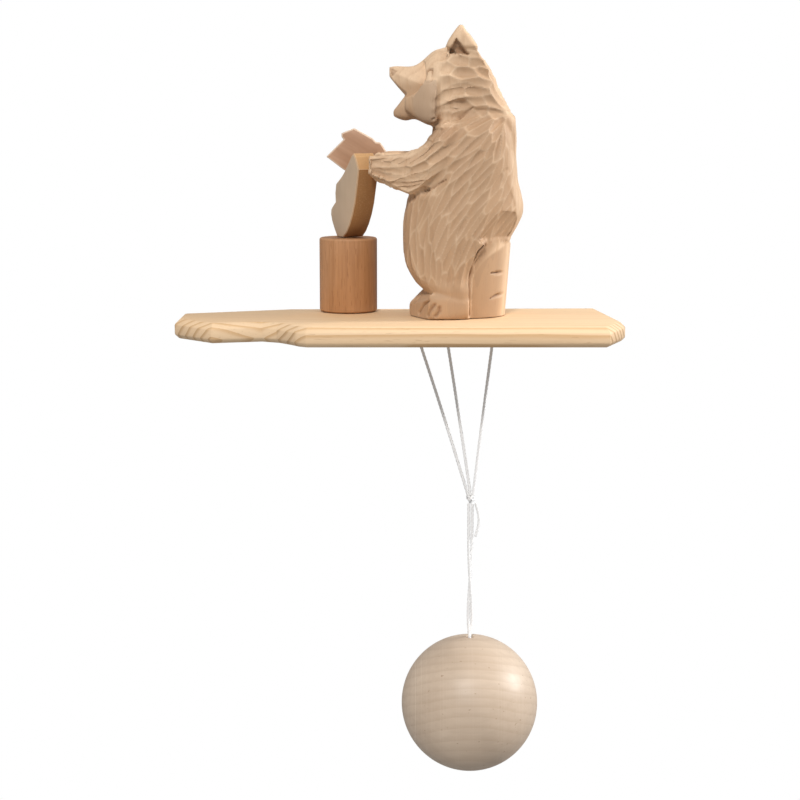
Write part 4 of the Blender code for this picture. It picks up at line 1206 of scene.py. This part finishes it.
def twisted_string(name, route, diameter, closed=False, spacing=0.28 * MM, spokes=18):
    """A tube of three plies laid round each other along the route."""
    line = resampled(route, spacing)
    if closed:
        line = line[:-1]
    ahead = np.roll(line, -1, axis=0) - np.roll(line, 1, axis=0)
    if not closed:
        ahead[0], ahead[-1] = line[1] - line[0], line[-1] - line[-2]
    ahead /= np.linalg.norm(ahead, axis=1)[:, None]
    side = np.cross(ahead[0], (0.3, 0.9, 0.2))
    sides = []
    for heading in ahead:
        side = side - (side @ heading) * heading
        side = side / np.linalg.norm(side)
        sides.append(side)
    sides = np.array(sides)
    ups = np.cross(ahead, sides)
    turn = 2 * np.pi * np.arange(spokes) / spokes
    lay = 2 * np.pi * np.arange(len(line)) * spacing / (PLY_TURN * diameter)
    lobe = np.abs(np.cos(1.5 * (turn[None, :] - lay[:, None])))
    radius = diameter / 2 * (0.80 + 0.22 * lobe)
    points = (line[:, None] + radius[..., None] * (np.cos(turn)[None, :, None] * sides[:, None]
                                                   + np.sin(turn)[None, :, None] * ups[:, None]))
    count = len(line)
    faces = []
    for i in range(count if closed else count - 1):
        for j in range(spokes):
            k, n = (i + 1) % count, (j + 1) % spokes
            faces.append((i * spokes + j, k * spokes + j, k * spokes + n, i * spokes + n))
    if not closed:
        faces += [tuple(range(spokes)), tuple((count - 1) * spokes + j for j in range(spokes))]
    mesh = bpy.data.meshes.new(name)
    mesh.from_pydata(points.reshape(-1, 3).tolist(), [], faces)
    bm = bmesh.new()
    bm.from_mesh(mesh)
    bmesh.ops.recalc_face_normals(bm, faces=bm.faces)
    bm.to_mesh(mesh)
    bm.free()
    # Where the plies meet, for the painted shade there.
    valley_shade = mesh.attributes.new("valley_shade", "FLOAT", "POINT")
    valley_shade.data.foreach_set("value", (1 - lobe).ravel().astype(np.float32))
    mesh.shade_smooth()
    piece = add_piece(name, mesh, COTTON)
    return piece, line


def knot_route(centre, radius, axis, tall):
    """An overhand knot pulled tight: one closed turn of a trefoil."""
    turns = np.linspace(0, 2 * np.pi, 91)
    x = np.sin(turns) + 2 * np.sin(2 * turns)
    y = np.cos(turns) - 2 * np.cos(2 * turns)
    z = -np.sin(3 * turns)
    flat = np.stack([x / 3, y / 3, z * tall], axis=1) * radius
    order = {"Z": (0, 1, 2), "Y": (0, 2, 1)}[axis]
    return flat[:, order] + np.array(centre)


def build_knot(node, body, thread, axis="Z", tall=0.98, throat=0.5 * MM):
    """A knot of string on a core, so that no light shows through it. The throat is how far
    the core reaches down from the knot's middle."""
    low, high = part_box(node)
    middle = (low + high) / 2
    if axis == "Y":
        middle.y = high.y - (high.x - low.x) * 0.4
    radius = (high.x - low.x) / 2 - thread / 2
    knot, _ = twisted_string(node + "_turns", knot_route(middle, radius, axis, tall),
                             thread, True)
    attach(knot, body)
    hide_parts(node)
    core_size = max(radius * 0.85, STRING)
    ends = [middle + Vector((0, 0, 0.5 * MM)), middle, middle - Vector((0, 0, throat))]
    core, _ = twisted_string(node + "_core", ends, core_size)
    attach(core, body)
    return knot, core


def length_of(line):
    return float(np.linalg.norm(np.diff(line, axis=0), axis=1).sum())


def build_strings():
    """The fan of three strings, the twisted pair that carries the ball, and the loose tail."""
    thread = STRING
    knot = centre_of("fan_knot")
    # The knot is kept low, and its throat short, so that the cords swing clear of both.
    fan_knot, fan_core = build_knot("fan_knot", "string_fan", 0.9 * MM, tall=0.60,
                                    throat=1.75 * MM)
    for k, name in enumerate(("fan_string_front", "fan_string_middle", "fan_string_rear")):
        low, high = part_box(name)
        start_x = low.x + thread / 2 if k < 2 else high.x - thread / 2
        start = Vector((start_x, MIDDLE, high.z))
        end = knot + Vector(((k - 1) * 0.9 * MM, 0, 1.0 * MM))
        bow = Vector(((knot.x - start_x) * 0.012, 0.25 * MM * (k - 1), 0))
        route = [start.lerp(end, t) + bow * math.sin(math.pi * t) for t in np.linspace(0, 1, 25)]
        string, line = twisted_string(name + "_plies", route, thread)
        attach(string, "string_fan")
        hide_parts(name)
        length_of(line)
        [fan_knot, fan_core] if k == 1 else []
    low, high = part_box("hanging_cord_left")
    drop = high.z - low.z
    pair = []
    for k, name in enumerate(("hanging_cord_left", "hanging_cord_right")):
        route = []
        for t in np.linspace(0, 1, 70):
            turn = math.pi * k + PAIR_TURNS * 2 * math.pi * t * t + math.pi
            route.append((knot.x + PAIR_APART * math.cos(turn),
                          MIDDLE + PAIR_APART * math.sin(turn),
                          high.z + 0.15 * MM - t * (drop + 0.15 * MM)))
        string, line = twisted_string(name + "_plies", route, thread)
        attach(string, "ball_pendulum")
        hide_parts(name)
        pair.append((string, line))
    low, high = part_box("cord_tail")
    route = [(low.x + thread / 2 - 0.35 * MM + (high.x - low.x - thread) * math.sin(math.pi * t),
              MIDDLE - 0.3 * MM, high.z + (low.z - high.z) * t) for t in np.linspace(0, 1, 20)]
    tail, _ = twisted_string("cord_tail_plies", route, thread)
    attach(tail, "ball_pendulum")
    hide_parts("cord_tail")
    for k, (string, line) in enumerate(pair):
        length_of(line)
        [tail] if k == 1 else []


def build_inner_strings():
    """The ends of two strings in the board, and the pull string, which slants up to the arm."""
    for node in ("pull_string", "string_end_front", "string_end_middle"):
        low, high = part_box(node)
        top = Vector((high.x - STRING / 2, MIDDLE, high.z))
        foot = Vector((low.x + STRING / 2, MIDDLE, low.z))
        route = [foot, top]
        if node == "pull_string":
            bend = Vector((high.x - STRING / 2, MIDDLE, BOARD_TOP))
            head = Vector((low.x + STRING / 2, high.y - STRING / 2, high.z))
            route = [Vector((bend.x, MIDDLE, low.z)), bend, head]
        string, _ = twisted_string(node + "_plies", route, STRING)
        fasten(string, "root", "cotton", node)


def fasten(piece, body, slot_name, *nodes):
    """Fixes a finished piece to its body, in the place of its CAD nodes."""
    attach(piece, body)
    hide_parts(*nodes)


build_camera()
build_studio()
COTTON = paint_cotton()
build_strings()

fasten(build_bear(), "root", "carved_linden", "bear_figure")
fasten(build_far_arm(), "far_arm", "carved_linden", "far_arm")
fasten(build_board(), "root", "pine_board", "board")
fasten(build_block(), "root", "red_alder", "block")
fasten(build_shoe(), "root", "shoe_linden", "shoe")
fasten(build_hammer(), "far_arm", "hammer_alder", "hammer")
fasten(build_ball(), "ball_pendulum", "pale_birch", "ball")
build_knot("ball_knot", "ball_pendulum", STRING)
build_knot("arm_string_knot", "far_arm", STRING, "Y", 0.62)

beech = paint_turned("peg_beech", (0.640, 0.450, 0.290, 1), (0.560, 0.380, 0.235, 1),
                     (0.380, 0.230, 0.130, 1), "Z", (0.0, 0.05, 0.0), 2.0 * MM)
for peg in ("shoe_peg", "string_peg_front", "string_peg_middle"):
    fasten(build_peg(peg, beech), "root", "peg_beech", peg)
fasten(build_peg("hammer_peg", beech, "Y"), "far_arm", "peg_beech", "hammer_peg")

steel = paint_steel()
rings = ring_tree()
for nail in ("block_nail", "bear_nail_near", "bear_nail_far"):
    fasten(build_nail(nail, steel, rings), "root", "steel", nail)
fasten(build_nail("arm_pivot_nail", steel, rings, "Y"), "root", "steel", "arm_pivot_nail")

build_inner_strings()
